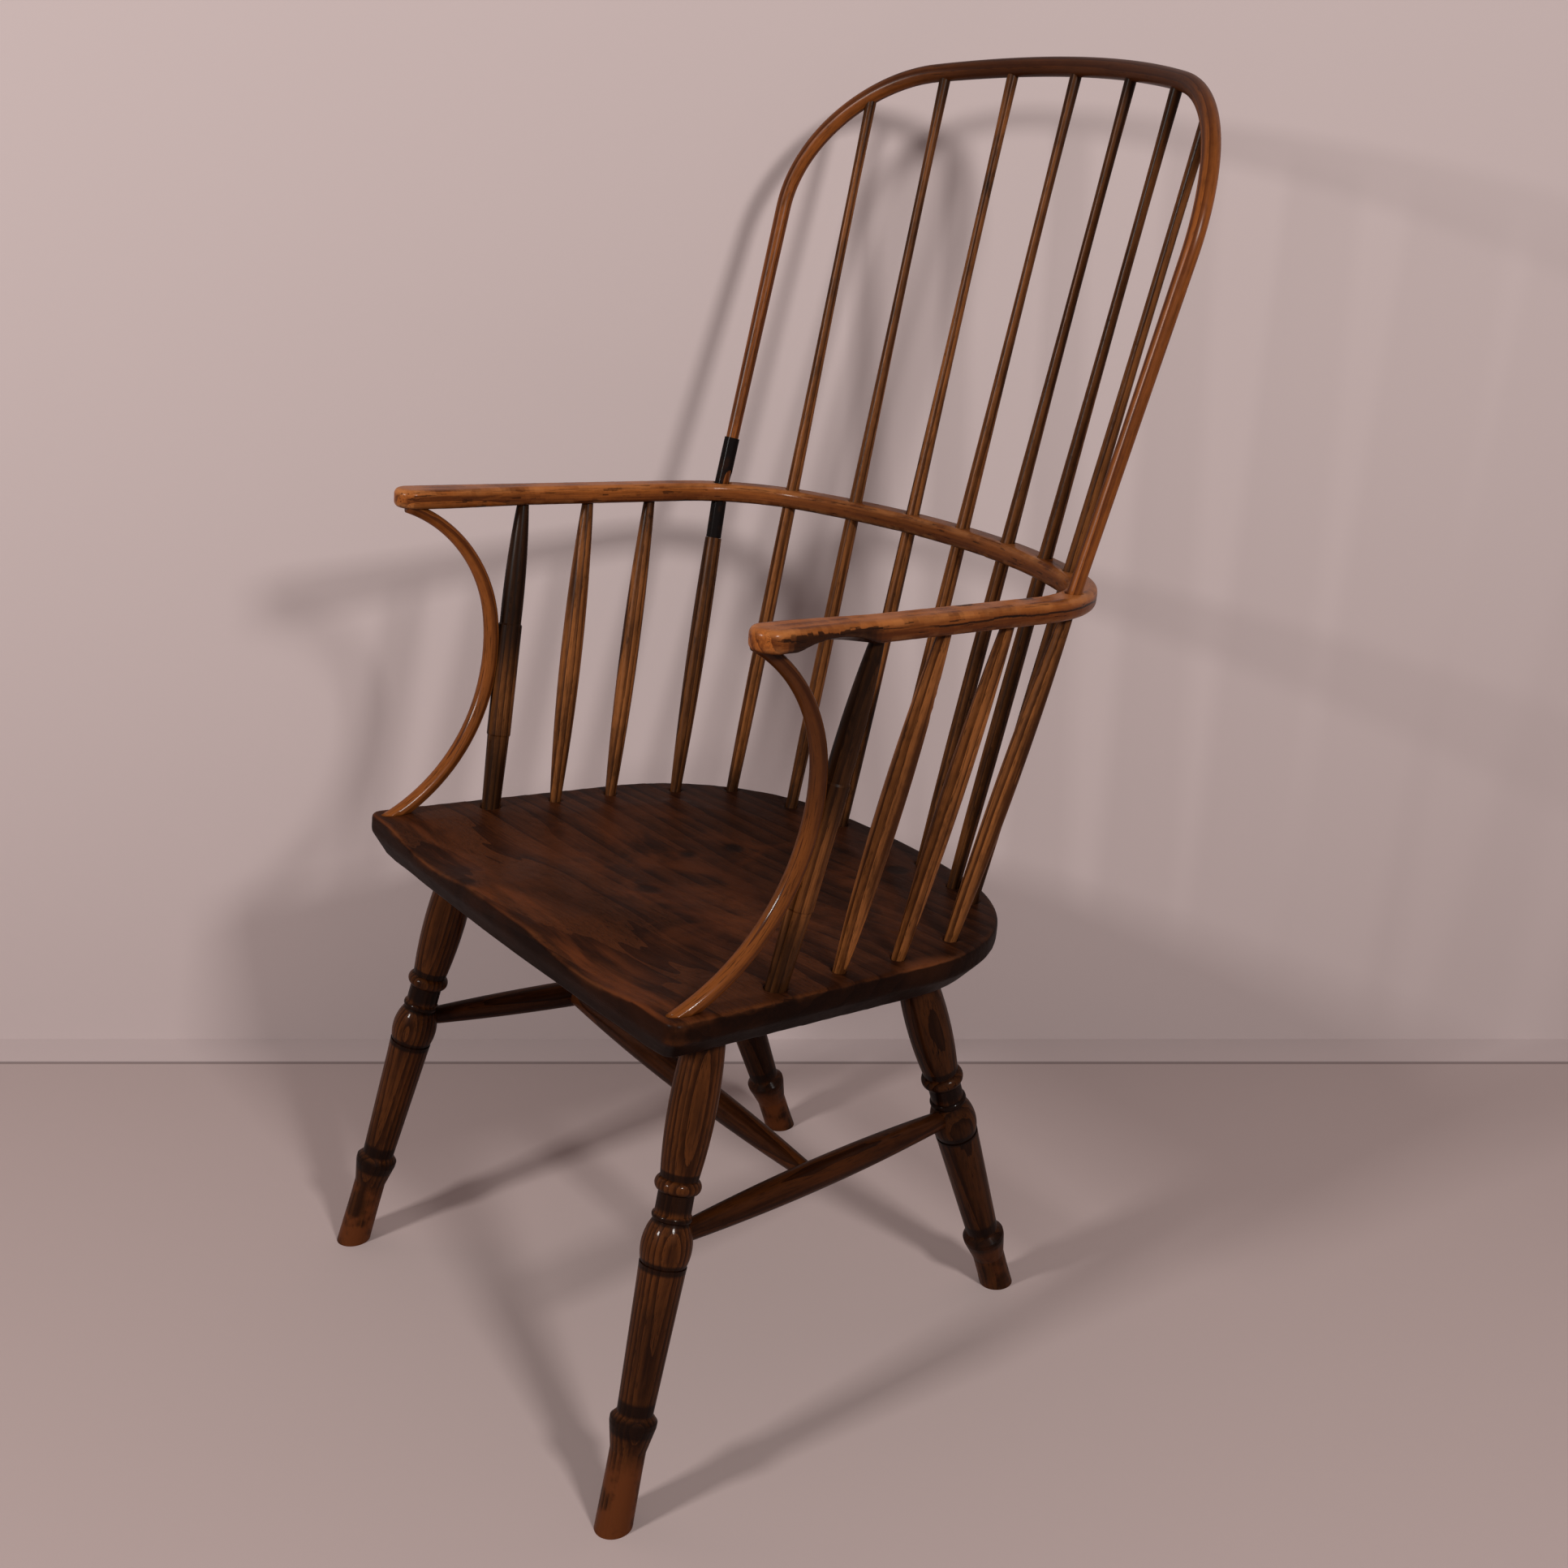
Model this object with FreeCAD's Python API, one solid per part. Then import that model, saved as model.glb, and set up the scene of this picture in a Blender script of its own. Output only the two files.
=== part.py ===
import FreeCAD, Part
import math
import os

# A double bow windsor armchair. The floor is z = 0, the front of the chair faces -Y
# and the sitter's left hand is on +X. All sizes are in millimetres, angles in degrees.

# Clearances of the joints
joint_gap = 0.15
end_gap = 0.3

# Seat plank: an outline of two side lines, two corner arcs and one back arc
seat_front_y = -261.7
seat_front_height = 422.1
seat_tilt = 6.3
seat_front_half_width = 253.5
seat_side_taper = 2.6
seat_depth = 418.5
seat_back_radius = 663.0
seat_corner_radius = 170.0
seat_front_bulge = 5.0
seat_front_corner_radius = 12.0
seat_thickness = 35.0
seat_edge_height = 16.0
seat_undercut = 17.0
seat_front_undercut = 8.5
seat_rim_round = 3.5

# Saddle: a shallow bowl behind two thigh hollows that run out over the front edge
bowl_depth = 9.0
bowl_middle = 210.5
bowl_half_length = 152.0
bowl_half_width = 196.0
thigh_depth = 8.0
thigh_offset = 128.0
thigh_half_width = 96.0
thigh_length = 195.5
saddle_rows = 27
saddle_columns = 41
saddle_rim_lift = 0.4
saddle_clearance = 90.0

# Turned legs: feet on the floor, heads where the axis meets the top of the seat
front_foot_x = 239.0
front_foot_y = -316.7
front_head_x = 195.5
front_head_depth = 77.0
rear_foot_x = 171.0
rear_foot_y = 135.0
rear_head_x = 172.0
rear_head_depth = 277.5
leg_tenon_diameter = 23.0
leg_shoulder_gap = 0.2
leg_swell_diameter = 37.4
leg_waist_diameter = 30.0
ring_diameter = 36.6
neck_diameter = 28.4
fillet_ring_diameter = 32.0
vase_diameter = 39.8
vase_foot_diameter = 35.6
collar_diameter = 37.4
shin_diameter = 36.4
ankle_diameter = 28.6
anklet_diameter = 37.2
pastern_diameter = 28.4
foot_diameter = 30.6

# Places of the leg's turnings, measured down the axis from the top of the seat
leg_swell_drop = 98.0
ring_drop = 160.5
ring_height = 11.5
fillet_ring_drop = 185.5
fillet_ring_height = 6.0
vase_drop = 204.5
vase_foot_drop = 223.5
collar_height = 11.0
ankle_drop = 343.0
anklet_drop = 350.0
anklet_face = 4.0
anklet_foot_drop = 373.0
pastern_drop = 392.0

# Wedges that spread the leg tenons
wedge_thickness = 1.8
wedge_depth = 14.0

# Stretchers: swelled rods between the legs, and one across
stretcher_tenon_diameter = 12.0
stretcher_tenon_depth = 12.0
stretcher_neck_diameter = 14.0
side_stretcher_diameter = 25.0
cross_stretcher_diameter = 25.5
cross_stretcher_tenon_depth = 7.5
cross_stretcher_neck_diameter = 13.5
cross_stretcher_place = 0.476
right_stretcher_raise = 4.5

# Arm bow: one bent band, an outline like the seat's in its own tilted plane
arm_front_y = -207.2
arm_front_height = 698.5
arm_tilt = 5.8
arm_front_half_width = 266.0
arm_side_taper = 3.0
arm_depth = 422.0
arm_back_radius = 446.0
arm_corner_radius = 116.0
arm_width = 25.0
arm_thickness = 17.0
arm_edge_round = 5.0
hand_width = 32.0
hand_start = 118.0
hand_widest = 46.0
hand_reach = 1.5

# The left hand is shorter, and a long scoop is worn out of its underside
left_hand_shortfall = 12.5
wear_depth = 8.5
wear_radius = 90.0
wear_middle = 78.0
wear_slope = 18.0

# Back hoop: leans from the arm bow, and its crown is bowed backwards
hoop_station = 325.0
hoop_lean = 20.4
hoop_side_splay = 3.4
hoop_height = 408.0
hoop_crown_radius = 1400.0
hoop_corner_radius = 120.0
hoop_back_bow = 75.0
hoop_crown_diameter = 16.6
hoop_corner_diameter = 15.6
hoop_side_diameter = 13.6
hoop_foot_diameter = 11.6
hoop_tenon_depth = 8.2
hoop_sections = 45

# Iron sleeve that mends the sitter's right end of the hoop
sleeve_diameter = 14.2
sleeve_shoulder_diameter = 15.4
sleeve_above = 52.0
sleeve_below = 36.0
sleeve_grip = 30.0

# Seven long sticks in the back, set by eye: across the chair, from the sitter's left
stick_places_at_hoop = (209.0, 144.0, 74.0, 2.0, -71.0, -141.0, -206.0)
stick_places_at_arm = (173.0, 124.5, 63.0, -1.5, -66.0, -131.5, -196.0)
stick_seat_diameter = 11.0
stick_swell_diameter = 13.8
stick_arm_diameter = 12.4
stick_hoop_diameter = 10.0
stick_swell_place = 0.24
stick_seat_depth = 17.0
stick_hoop_depth = 8.0

# Short sticks under each arm, placed along the arm and along the seat's side
arm_stick_stations = (189.0, 254.0)
arm_stick_seat_depths = (174.5, 234.0)
arm_stick_seat_insets = (25.5, 24.0)
arm_stick_swells = (19.6, 17.4)
arm_stick_end_diameter = 10.2
arm_stick_swell_place = 0.46
arm_stick_tenon_depth = 10.5
hoop_stick_seat_depth = 299.5
hoop_stick_seat_inset = 27.0
hoop_stick_diameter = 17.0
hoop_stick_tenon_depth = 7.0

# Thick turned post near the front of each arm
post_station = 123.5
post_seat_depth = 110.0
post_seat_inset = 22.5
post_head_diameter = 10.6
post_upper_diameter = 19.4
post_upper_bulge = 18.0
post_block_diameter = 21.6
post_lower_diameter = 20.0
post_foot_diameter = 17.0
post_upper_shoulder = 0.61
post_lower_shoulder = 0.27
post_step = 1.6

# Bent crook between each hand and the front corner of the seat
crook_back_y = -130.7
crook_back_height = 583.0
crook_upper_radius = 118.0
left_crook_upper_radius = 130.0
crook_lower_radius = 176.0
crook_upper_sweep = 66.0
crook_lower_sweep = 73.0
crook_seat_x = 236.5
crook_lean = 4.2
crook_top_diameter = 10.2
crook_middle_diameter = 14.6
crook_foot_diameter = 13.4
crook_sections = 21
crook_tenon_diameter = 8.0
crook_tenon_depth = 9.0

X_AXIS = FreeCAD.Vector(1, 0, 0)
Z_AXIS = FreeCAD.Vector(0, 0, 1)
ORIGIN = FreeCAD.Vector(0, 0, 0)
SIDES = (("left", 1.0), ("right", -1.0))


def vector(x, y, z=0.0):
    return FreeCAD.Vector(x, y, z)


def mirrored(point, side):
    return vector(point.x * side, point.y, point.z)


# An arch is a pair of straight sides, a pair of corner arcs and one crown arc, all
# tangent. It is described on its +X half in a plane whose second axis runs up the arch.
class Arch:
    def __init__(self, foot, splay, height, crown_radius, corner_radius):
        self.foot = foot
        self.height = height
        self.crown_radius = crown_radius
        self.corner_radius = corner_radius
        angle = math.radians(splay)
        self.along = vector(math.sin(angle), math.cos(angle))
        self.inward = vector(-math.cos(angle), math.sin(angle))
        self.crown_centre = vector(0, height - crown_radius)
        start = vector(foot, 0) + self.inward * corner_radius - self.crown_centre
        half = start.dot(self.along)
        reach = crown_radius - corner_radius
        self.side = -half + math.sqrt(half * half - start.dot(start) + reach * reach)
        self.shoulder = vector(foot, 0) + self.along * self.side
        self.corner_centre = self.shoulder + self.inward * corner_radius
        outward = (self.corner_centre - self.crown_centre).normalize()
        self.meeting = self.crown_centre + outward * crown_radius
        bisector = (outward - self.inward).normalize()
        self.corner_middle = self.corner_centre + bisector * corner_radius

    def offset(self, distance):
        grown_foot = self.foot + distance / -self.inward.x
        splay = math.degrees(math.asin(self.along.x))
        return Arch(
            grown_foot,
            splay,
            self.height + distance,
            self.crown_radius + distance,
            self.corner_radius + distance,
        )

    # Half width where the arch passes a given height
    def x_at(self, v):
        if v <= self.shoulder.y:
            return self.foot + v * self.along.x / self.along.y
        if v <= self.meeting.y:
            rise = v - self.corner_centre.y
            return self.corner_centre.x + math.sqrt(self.corner_radius**2 - rise**2)
        rise = v - self.crown_centre.y
        return math.sqrt(self.crown_radius**2 - rise**2)

    # Height where the arch passes a given distance from the middle, near its crown
    def v_at(self, x):
        if abs(x) <= self.meeting.x:
            return self.crown_centre.y + math.sqrt(self.crown_radius**2 - x * x)
        run = abs(x) - self.corner_centre.x
        return self.corner_centre.y + math.sqrt(self.corner_radius**2 - run * run)

    # Edges from the +X foot over the crown to the -X foot
    def edges(self, start):
        right = self.x_at(start)
        top = vector(0, self.height)

        def flip(p):
            return vector(-p.x, p.y)

        return [
            Part.makeLine(vector(right, start), self.shoulder),
            Part.Arc(self.shoulder, self.corner_middle, self.meeting).toShape(),
            Part.Arc(self.meeting, top, flip(self.meeting)).toShape(),
            Part.Arc(flip(self.meeting), flip(self.corner_middle), flip(self.shoulder)).toShape(),
            Part.makeLine(flip(self.shoulder), vector(-right, start)),
        ]


# Turned pieces are made along +Z and then laid from one point to another
def laid(shape, start, finish):
    direction = finish - start
    shape.Placement = FreeCAD.Placement(start, FreeCAD.Rotation(Z_AXIS, direction))
    return shape


def revolved(profile_edges, first, last):
    closing = [
        Part.makeLine(last, vector(0, 0, last.z)),
        Part.makeLine(vector(0, 0, last.z), vector(0, 0, first.z)),
        Part.makeLine(vector(0, 0, first.z), first),
    ]
    face = Part.Face(Part.Wire(profile_edges + closing))
    return face.revolve(ORIGIN, Z_AXIS, 360)


# Straight edges through points, leaving out steps of no length
def straight_edges(points):
    pairs = zip(points, points[1:])
    return [Part.makeLine(a, b) for a, b in pairs if (b - a).Length > end_gap / 100]


# A rod whose radius follows a smooth curve through stations of (distance, radius),
# between straight runs that start at the first and stop at the last station
def rod(stations, first, last):
    points = [vector(radius, 0, distance) for distance, radius in stations]
    curve = Part.BSplineCurve()
    curve.interpolate(points)
    start = vector(first[1], 0, first[0])
    finish = vector(last[1], 0, last[0])
    before = vector(start.x, 0, points[0].z)
    after = vector(finish.x, 0, points[-1].z)
    edges = straight_edges([start, before, points[0]])
    edges.append(curve.toShape())
    edges += straight_edges([points[-1], after, finish])
    return revolved(edges, start, finish)


# A turned profile of straight runs and, where a third value is given, bulged runs
def turning(stations):
    points = [vector(station[1], 0, station[0]) for station in stations]
    edges = []
    for start, finish, station in zip(points, points[1:], stations[1:]):
        if len(station) == 2:
            edges.append(Part.makeLine(start, finish))
            continue
        middle = (start + finish) * 0.5
        middle.x = station[2]
        edges.append(Part.Arc(start, middle, finish).toShape())
    return revolved(edges, points[0], points[-1])


def cylinder(start, finish, diameter):
    length = (finish - start).Length
    return laid(Part.makeCylinder(diameter / 2, length), start, finish)


# A frame square to a direction, kept upright against a reference direction
def section_frame(point, direction, reference):
    tangent = FreeCAD.Vector(direction).normalize()
    across = reference.cross(tangent).normalize()
    up = tangent.cross(across)
    return FreeCAD.Placement(point, FreeCAD.Rotation(across, up, tangent, "ZXY"))


def round_bar(points, diameters, reference):
    wires = []
    for index, point in enumerate(points):
        before = points[max(index - 1, 0)]
        after = points[min(index + 1, len(points) - 1)]
        circle = Part.makeCircle(diameters[index] / 2)
        circle.Placement = section_frame(point, after - before, reference)
        wires.append(Part.Wire(circle))
    return Part.makeLoft(wires, True, False)


def blend(value, stops):
    for (start, first), (finish, second) in zip(stops, stops[1:]):
        if value <= finish:
            share = (value - start) / (finish - start)
            eased = share * share * (3 - 2 * share)
            return first + (second - first) * eased
    return stops[-1][1]


def cut_all(shape, tools):
    result = shape
    for tool in tools:
        result = result.cut(tool)
    return result


# A slab that fills one side of a tilted plane, from the given height
def beyond_plane(place, height, upwards):
    size = 4 * seat_depth
    base = height if upwards else height - size
    block = Part.makeBox(size, size, size, vector(-size / 2, -size / 2, base))
    block.Placement = place
    return block


# Planes of the seat and of the arm bow
seat_place = FreeCAD.Placement(
    vector(0, seat_front_y, seat_front_height), FreeCAD.Rotation(X_AXIS, -seat_tilt)
)
arm_place = FreeCAD.Placement(
    vector(0, arm_front_y, arm_front_height), FreeCAD.Rotation(X_AXIS, -arm_tilt)
)
seat_arch = Arch(
    seat_front_half_width, -seat_side_taper, seat_depth, seat_back_radius, seat_corner_radius
)
arm_arch = Arch(
    arm_front_half_width, -arm_side_taper, arm_depth, arm_back_radius, arm_corner_radius
)


def seat_point(x, depth, height=0.0):
    return seat_place.multVec(vector(x, depth, height))


def arm_point(x, depth, height=0.0):
    return arm_place.multVec(vector(x, depth, height))


def arm_station(station, height=0.0):
    return arm_point(arm_arch.x_at(station), station, height)


# Seat


def saddle_drop(x, depth):
    from_middle = (x / bowl_half_width) ** 2
    from_middle += ((depth - bowl_middle) / bowl_half_length) ** 2
    bowl = bowl_depth * max(0.0, 1 - from_middle) ** 1.5
    side = min(1.0, abs(abs(x) - thigh_offset) / thigh_half_width)
    hollow = 0.5 * (1 + math.cos(math.pi * side))
    run = min(1.0, max(0.0, depth / thigh_length))
    fade = 0.5 * (1 + math.cos(math.pi * run))
    return bowl + thigh_depth * hollow * fade


# Everything above the saddled top of the seat, lowered by an allowance
def space_above_seat(allowance=0.0):
    margin = seat_front_corner_radius
    half = seat_front_half_width + margin
    rows = []
    for row in range(saddle_rows):
        depth = -margin + (seat_depth + 2 * margin) * row / (saddle_rows - 1)
        line = []
        for column in range(saddle_columns):
            x = -half + 2 * half * column / (saddle_columns - 1)
            drop = saddle_drop(x, depth)
            rim = saddle_rim_lift * max(0.0, 1 - drop)
            line.append(vector(x, depth, rim - drop - allowance))
        rows.append(line)
    surface = Part.BSplineSurface()
    surface.interpolate(rows)
    space = surface.toShape().extrude(Z_AXIS * saddle_clearance)
    space.Placement = seat_place
    return space


def seat_outline(arch, front, height):
    radius = seat_front_corner_radius
    half = arch.x_at(front + radius)
    near = half - radius
    diagonal = radius * math.sqrt(0.5)
    corner = vector(near + diagonal, front + radius - diagonal)
    middle = vector(0, front - seat_front_bulge)
    start = vector(half, front + radius)
    edges = arch.edges(front + radius)
    edges.append(
        Part.Arc(mirrored(start, -1), mirrored(corner, -1), vector(-near, front)).toShape()
    )
    edges.append(Part.Arc(vector(-near, front), middle, vector(near, front)).toShape())
    edges.append(Part.Arc(vector(near, front), corner, start).toShape())
    wire = Part.Wire(edges)
    wire.translate(Z_AXIS * height)
    return wire


def seat_slab():
    upper = Part.Face(seat_outline(seat_arch, 0.0, -seat_edge_height))
    upper = upper.extrude(Z_AXIS * seat_edge_height)
    rim = [edge for edge in upper.Edges if edge.BoundBox.ZMin > -seat_rim_round / 2]
    upper = upper.makeFillet(seat_rim_round, rim)
    wide = seat_outline(seat_arch, 0.0, -seat_edge_height)
    narrow = seat_outline(seat_arch.offset(-seat_undercut), seat_front_undercut, -seat_thickness)
    lower = Part.makeLoft([wide, narrow], True, True)
    slab = upper.fuse(lower).removeSplitter()
    slab.Placement = seat_place
    return slab


# Legs: turned about the line from the head, at the top of the seat, to the foot


def leg_stations(length, growth):
    def half(diameter):
        return diameter / 2 + growth

    swell_end = ring_drop - ring_height / 2
    head_start = 2 * leg_swell_drop - swell_end
    return [
        (head_start, half(leg_waist_diameter)),
        (swell_end, half(leg_waist_diameter), half(leg_swell_diameter)),
        (ring_drop + ring_height / 2, half(neck_diameter), half(ring_diameter)),
        (fillet_ring_drop - fillet_ring_height / 2, half(neck_diameter)),
        (fillet_ring_drop + fillet_ring_height / 2, half(neck_diameter), half(fillet_ring_diameter)),
        (vase_foot_drop, half(vase_foot_diameter), half(vase_diameter)),
        (vase_foot_drop, half(collar_diameter)),
        (vase_foot_drop + collar_height, half(shin_diameter)),
        (ankle_drop, half(ankle_diameter)),
        (anklet_drop - anklet_face / 2, half(anklet_diameter)),
        (anklet_drop + anklet_face / 2, half(anklet_diameter)),
        (anklet_foot_drop, half(pastern_diameter)),
        (pastern_drop, half(pastern_diameter)),
        (length, half(foot_diameter)),
    ]


class Leg:
    def __init__(self, head, foot):
        self.head = head
        self.foot = foot
        self.axis = (foot - head).normalize()
        self.length = (foot - head).Length

    def at(self, drop):
        return self.head + self.axis * drop

    # The turning runs on below the floor, where the foot is sawn flat
    def turned(self, growth=0.0):
        sawn_off = foot_diameter
        body = turning(leg_stations(self.length + sawn_off, growth))
        return laid(body, self.head, self.foot)

    def tenon(self, growth=0.0):
        above = self.at(-seat_thickness)
        below = self.at(leg_swell_drop)
        return cylinder(above, below, leg_tenon_diameter + 2 * growth)

    def wedge(self, growth=0.0):
        width = leg_tenon_diameter + 2 * growth
        thickness = wedge_thickness + 2 * growth
        depth = seat_thickness + wedge_depth + growth
        block = Part.makeBox(width, thickness, depth, vector(-width / 2, -thickness / 2, -seat_thickness))
        return laid(block, self.head, self.foot)


def leg_pair(head_x, head_depth, foot_x, foot_y):
    pair = {}
    for name, side in SIDES:
        head = seat_point(side * head_x, head_depth)
        pair[name] = Leg(head, vector(side * foot_x, foot_y))
    return pair


front_legs = leg_pair(front_head_x, front_head_depth, front_foot_x, front_foot_y)
rear_legs = leg_pair(rear_head_x, rear_head_depth, rear_foot_x, rear_foot_y)


# Stretchers


class Stretcher:
    def __init__(self, start, finish, swell, neck, tenon_start):
        self.start = start
        self.finish = finish
        self.swell = swell
        self.neck = neck
        self.tenon_start = tenon_start
        self.length = (finish - start).Length

    def body(self, growth=0.0):
        stations = [
            (0.0, self.neck / 2 + growth),
            (self.length / 2, self.swell / 2 + growth),
            (self.length, self.neck / 2 + growth),
        ]
        return laid(rod(stations, stations[0], stations[-1]), self.start, self.finish)

    def tenon(self, growth=0.0, extra=0.0):
        direction = (self.finish - self.start).normalize()
        inset = direction * (self.tenon_start - extra)
        diameter = stretcher_tenon_diameter + 2 * growth
        return cylinder(self.start + inset, self.finish - inset, diameter)

    def made(self, obstacles):
        return cut_all(self.body(), obstacles).fuse(self.tenon()).removeSplitter()

    def socket(self):
        return self.tenon(joint_gap, end_gap)


side_stretchers = {}
for side_name, side_sign in SIDES:
    drop = vase_drop - (right_stretcher_raise if side_sign < 0 else 0.0)
    side_stretchers[side_name] = Stretcher(
        front_legs[side_name].at(drop),
        rear_legs[side_name].at(drop),
        side_stretcher_diameter,
        stretcher_neck_diameter,
        vase_diameter / 2 - stretcher_tenon_depth,
    )


def along_side_stretcher(name):
    stretcher = side_stretchers[name]
    return stretcher.start + (stretcher.finish - stretcher.start) * cross_stretcher_place


cross_stretcher = Stretcher(
    along_side_stretcher("right"),
    along_side_stretcher("left"),
    cross_stretcher_diameter,
    cross_stretcher_neck_diameter,
    side_stretcher_diameter / 2 - cross_stretcher_tenon_depth,
)


# Arm bow: a flat band with a hand at each front end


# The outline of one hand: straight outside, round tip, and a palm that swells inwards
def hand_edges(side, reach):
    outer = arm_arch.offset(arm_width / 2)
    tip_depth = hand_width / 2 - reach
    outside = vector(outer.x_at(tip_depth), tip_depth)
    elbow = vector(outer.x_at(hand_start), hand_start)
    inside = vector(outside.x - hand_width, tip_depth)
    tip = vector(outside.x - hand_width / 2, -reach)
    palm = vector(outer.x_at(hand_widest) - hand_width, hand_widest)
    wrist = vector(arm_arch.offset(-arm_width / 2).x_at(hand_start), hand_start)
    corners = [mirrored(point, side) for point in (elbow, outside, tip, inside, palm, wrist)]
    elbow, outside, tip, inside, palm, wrist = corners
    return [
        Part.makeLine(elbow, outside),
        Part.Arc(outside, tip, inside).toShape(),
        Part.makeLine(inside, palm),
        Part.makeLine(palm, wrist),
    ]


# The scoop worn out of the left hand's underside, deepest at the outer lower edge
def worn_scoop():
    outer = arm_arch.offset(arm_width / 2)
    edge = vector(outer.x_at(wear_middle), wear_middle, -arm_thickness / 2)
    slope = math.radians(wear_slope)
    outward = vector(math.sin(slope), 0, -math.cos(slope))
    middle = edge + outward * (wear_radius - wear_depth)
    along = vector(math.cos(slope), 0, math.sin(slope)) * wear_radius
    scoop = cylinder(middle - along, middle + along, 2 * wear_radius)
    scoop.Placement = arm_place.multiply(scoop.Placement)
    return scoop


def arm_band():
    outer = arm_arch.offset(arm_width / 2)
    inner = arm_arch.offset(-arm_width / 2)
    edges = outer.edges(hand_start) + inner.edges(hand_start)
    edges += hand_edges(1, hand_reach - left_hand_shortfall)
    edges += hand_edges(-1, hand_reach)
    wire = Part.Wire(Part.__sortEdges__(edges))
    wire.translate(Z_AXIS * (-arm_thickness / 2))
    band = Part.Face(wire).extrude(Z_AXIS * arm_thickness)
    flat = [
        edge
        for edge in band.Edges
        if edge.BoundBox.ZLength < arm_edge_round / 2
    ]
    band = band.makeFillet(arm_edge_round, flat)
    band.Placement = arm_place
    return band.cut(worn_scoop())


# Back hoop


hoop_foot_x = arm_arch.x_at(hoop_station)
hoop_foot = arm_point(hoop_foot_x, hoop_station)
hoop_arch = Arch(
    hoop_foot_x, hoop_side_splay, hoop_height, hoop_crown_radius, hoop_corner_radius
)
hoop_half_width = hoop_arch.corner_centre.x + hoop_corner_radius


def hoop_point(x, rise):
    lean = math.radians(hoop_lean)
    bow = hoop_back_bow * (hoop_foot_x**2 - x * x) / hoop_half_width**2
    return vector(x, hoop_foot.y + rise * math.sin(lean) + bow, hoop_foot.z + rise * math.cos(lean))


def hoop_diameter(rise):
    stops = (
        (sleeve_grip, hoop_foot_diameter),
        (hoop_arch.shoulder.y, hoop_side_diameter),
        (hoop_arch.meeting.y, hoop_corner_diameter),
        (hoop_height, hoop_crown_diameter),
    )
    return blend(max(rise, sleeve_grip), stops)


def hoop_start():
    between = math.radians(hoop_lean - arm_tilt)
    return (arm_thickness / 2 - hoop_tenon_depth) / math.cos(between)


def hoop_bar(growth=0.0):
    path = Part.Wire(hoop_arch.edges(hoop_start()))
    flat = path.discretize(Number=hoop_sections)
    points = [hoop_point(p.x, p.y) for p in flat]
    diameters = [hoop_diameter(p.y) + 2 * growth for p in flat]
    lean = math.radians(hoop_lean)
    square_to_hoop = vector(0, math.cos(lean), -math.sin(lean))
    return round_bar(points, diameters, square_to_hoop)


# A cylinder along the straight foot of the hoop, from one rise to another
def hoop_foot_bar(side, diameter, bottom, top):
    start = mirrored(hoop_point(hoop_arch.x_at(bottom), bottom), side)
    finish = mirrored(hoop_point(hoop_arch.x_at(top), top), side)
    return cylinder(start, finish, diameter)


# Sticks: rods with a straight tenon at each end


class Stick:
    def __init__(self, start, finish, stations, end_diameters):
        self.start = start
        self.finish = finish
        self.stations = stations
        self.end_diameters = end_diameters
        self.length = (finish - start).Length

    # Grown by a gap all round, it cuts the stick's own sockets
    def made(self, growth=0.0):
        extra = end_gap if growth else 0.0
        stations = [(distance, radius + growth) for distance, radius in self.stations]
        first = (-extra, self.end_diameters[0] / 2 + growth)
        last = (self.length + extra, self.end_diameters[1] / 2 + growth)
        return laid(rod(stations, first, last), self.start, self.finish)


def back_stick(arm_x, top_x):
    middle = hoop_arch.v_at(top_x)
    in_hoop = hoop_point(top_x, middle)
    in_arm = arm_point(arm_x, arm_arch.v_at(arm_x))
    up = (in_hoop - in_arm).normalize()
    seat_normal = seat_place.Rotation.multVec(Z_AXIS)
    above_seat = (in_arm - seat_place.Base).dot(seat_normal) / up.dot(seat_normal)
    start = in_arm - up * (above_seat + stick_seat_depth)
    finish = in_hoop - up * (hoop_diameter(middle) / 2 - stick_hoop_depth)
    length = (finish - start).Length
    arm_distance = (in_arm - start).Length
    stations = [
        (stick_seat_depth, stick_seat_diameter / 2),
        (length * stick_swell_place, stick_swell_diameter / 2),
        (arm_distance, stick_arm_diameter / 2),
        (length - stick_hoop_depth, stick_hoop_diameter / 2),
    ]
    return Stick(start, finish, stations, (stick_seat_diameter, stick_hoop_diameter))


# A short stick from a place by the edge of the seat to the underside of the arm
def under_arm(side, station, depth, inset, tenon_depth, stations_of, end_diameters):
    on_seat = seat_point(side * (seat_arch.x_at(depth) - inset), depth)
    top = mirrored(arm_station(station, tenon_depth - arm_thickness / 2), side)
    start = on_seat + (on_seat - top).normalize() * stick_seat_depth
    length = (top - start).Length
    return Stick(start, top, stations_of(length), end_diameters)


def arm_stick(side, number):
    def stations_of(length):
        return [
            (stick_seat_depth, arm_stick_end_diameter / 2),
            (length * arm_stick_swell_place, arm_stick_swells[number] / 2),
            (length - arm_stick_tenon_depth, arm_stick_end_diameter / 2),
        ]

    return under_arm(
        side,
        arm_stick_stations[number],
        arm_stick_seat_depths[number],
        arm_stick_seat_insets[number],
        arm_stick_tenon_depth,
        stations_of,
        (arm_stick_end_diameter, arm_stick_end_diameter),
    )


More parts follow.
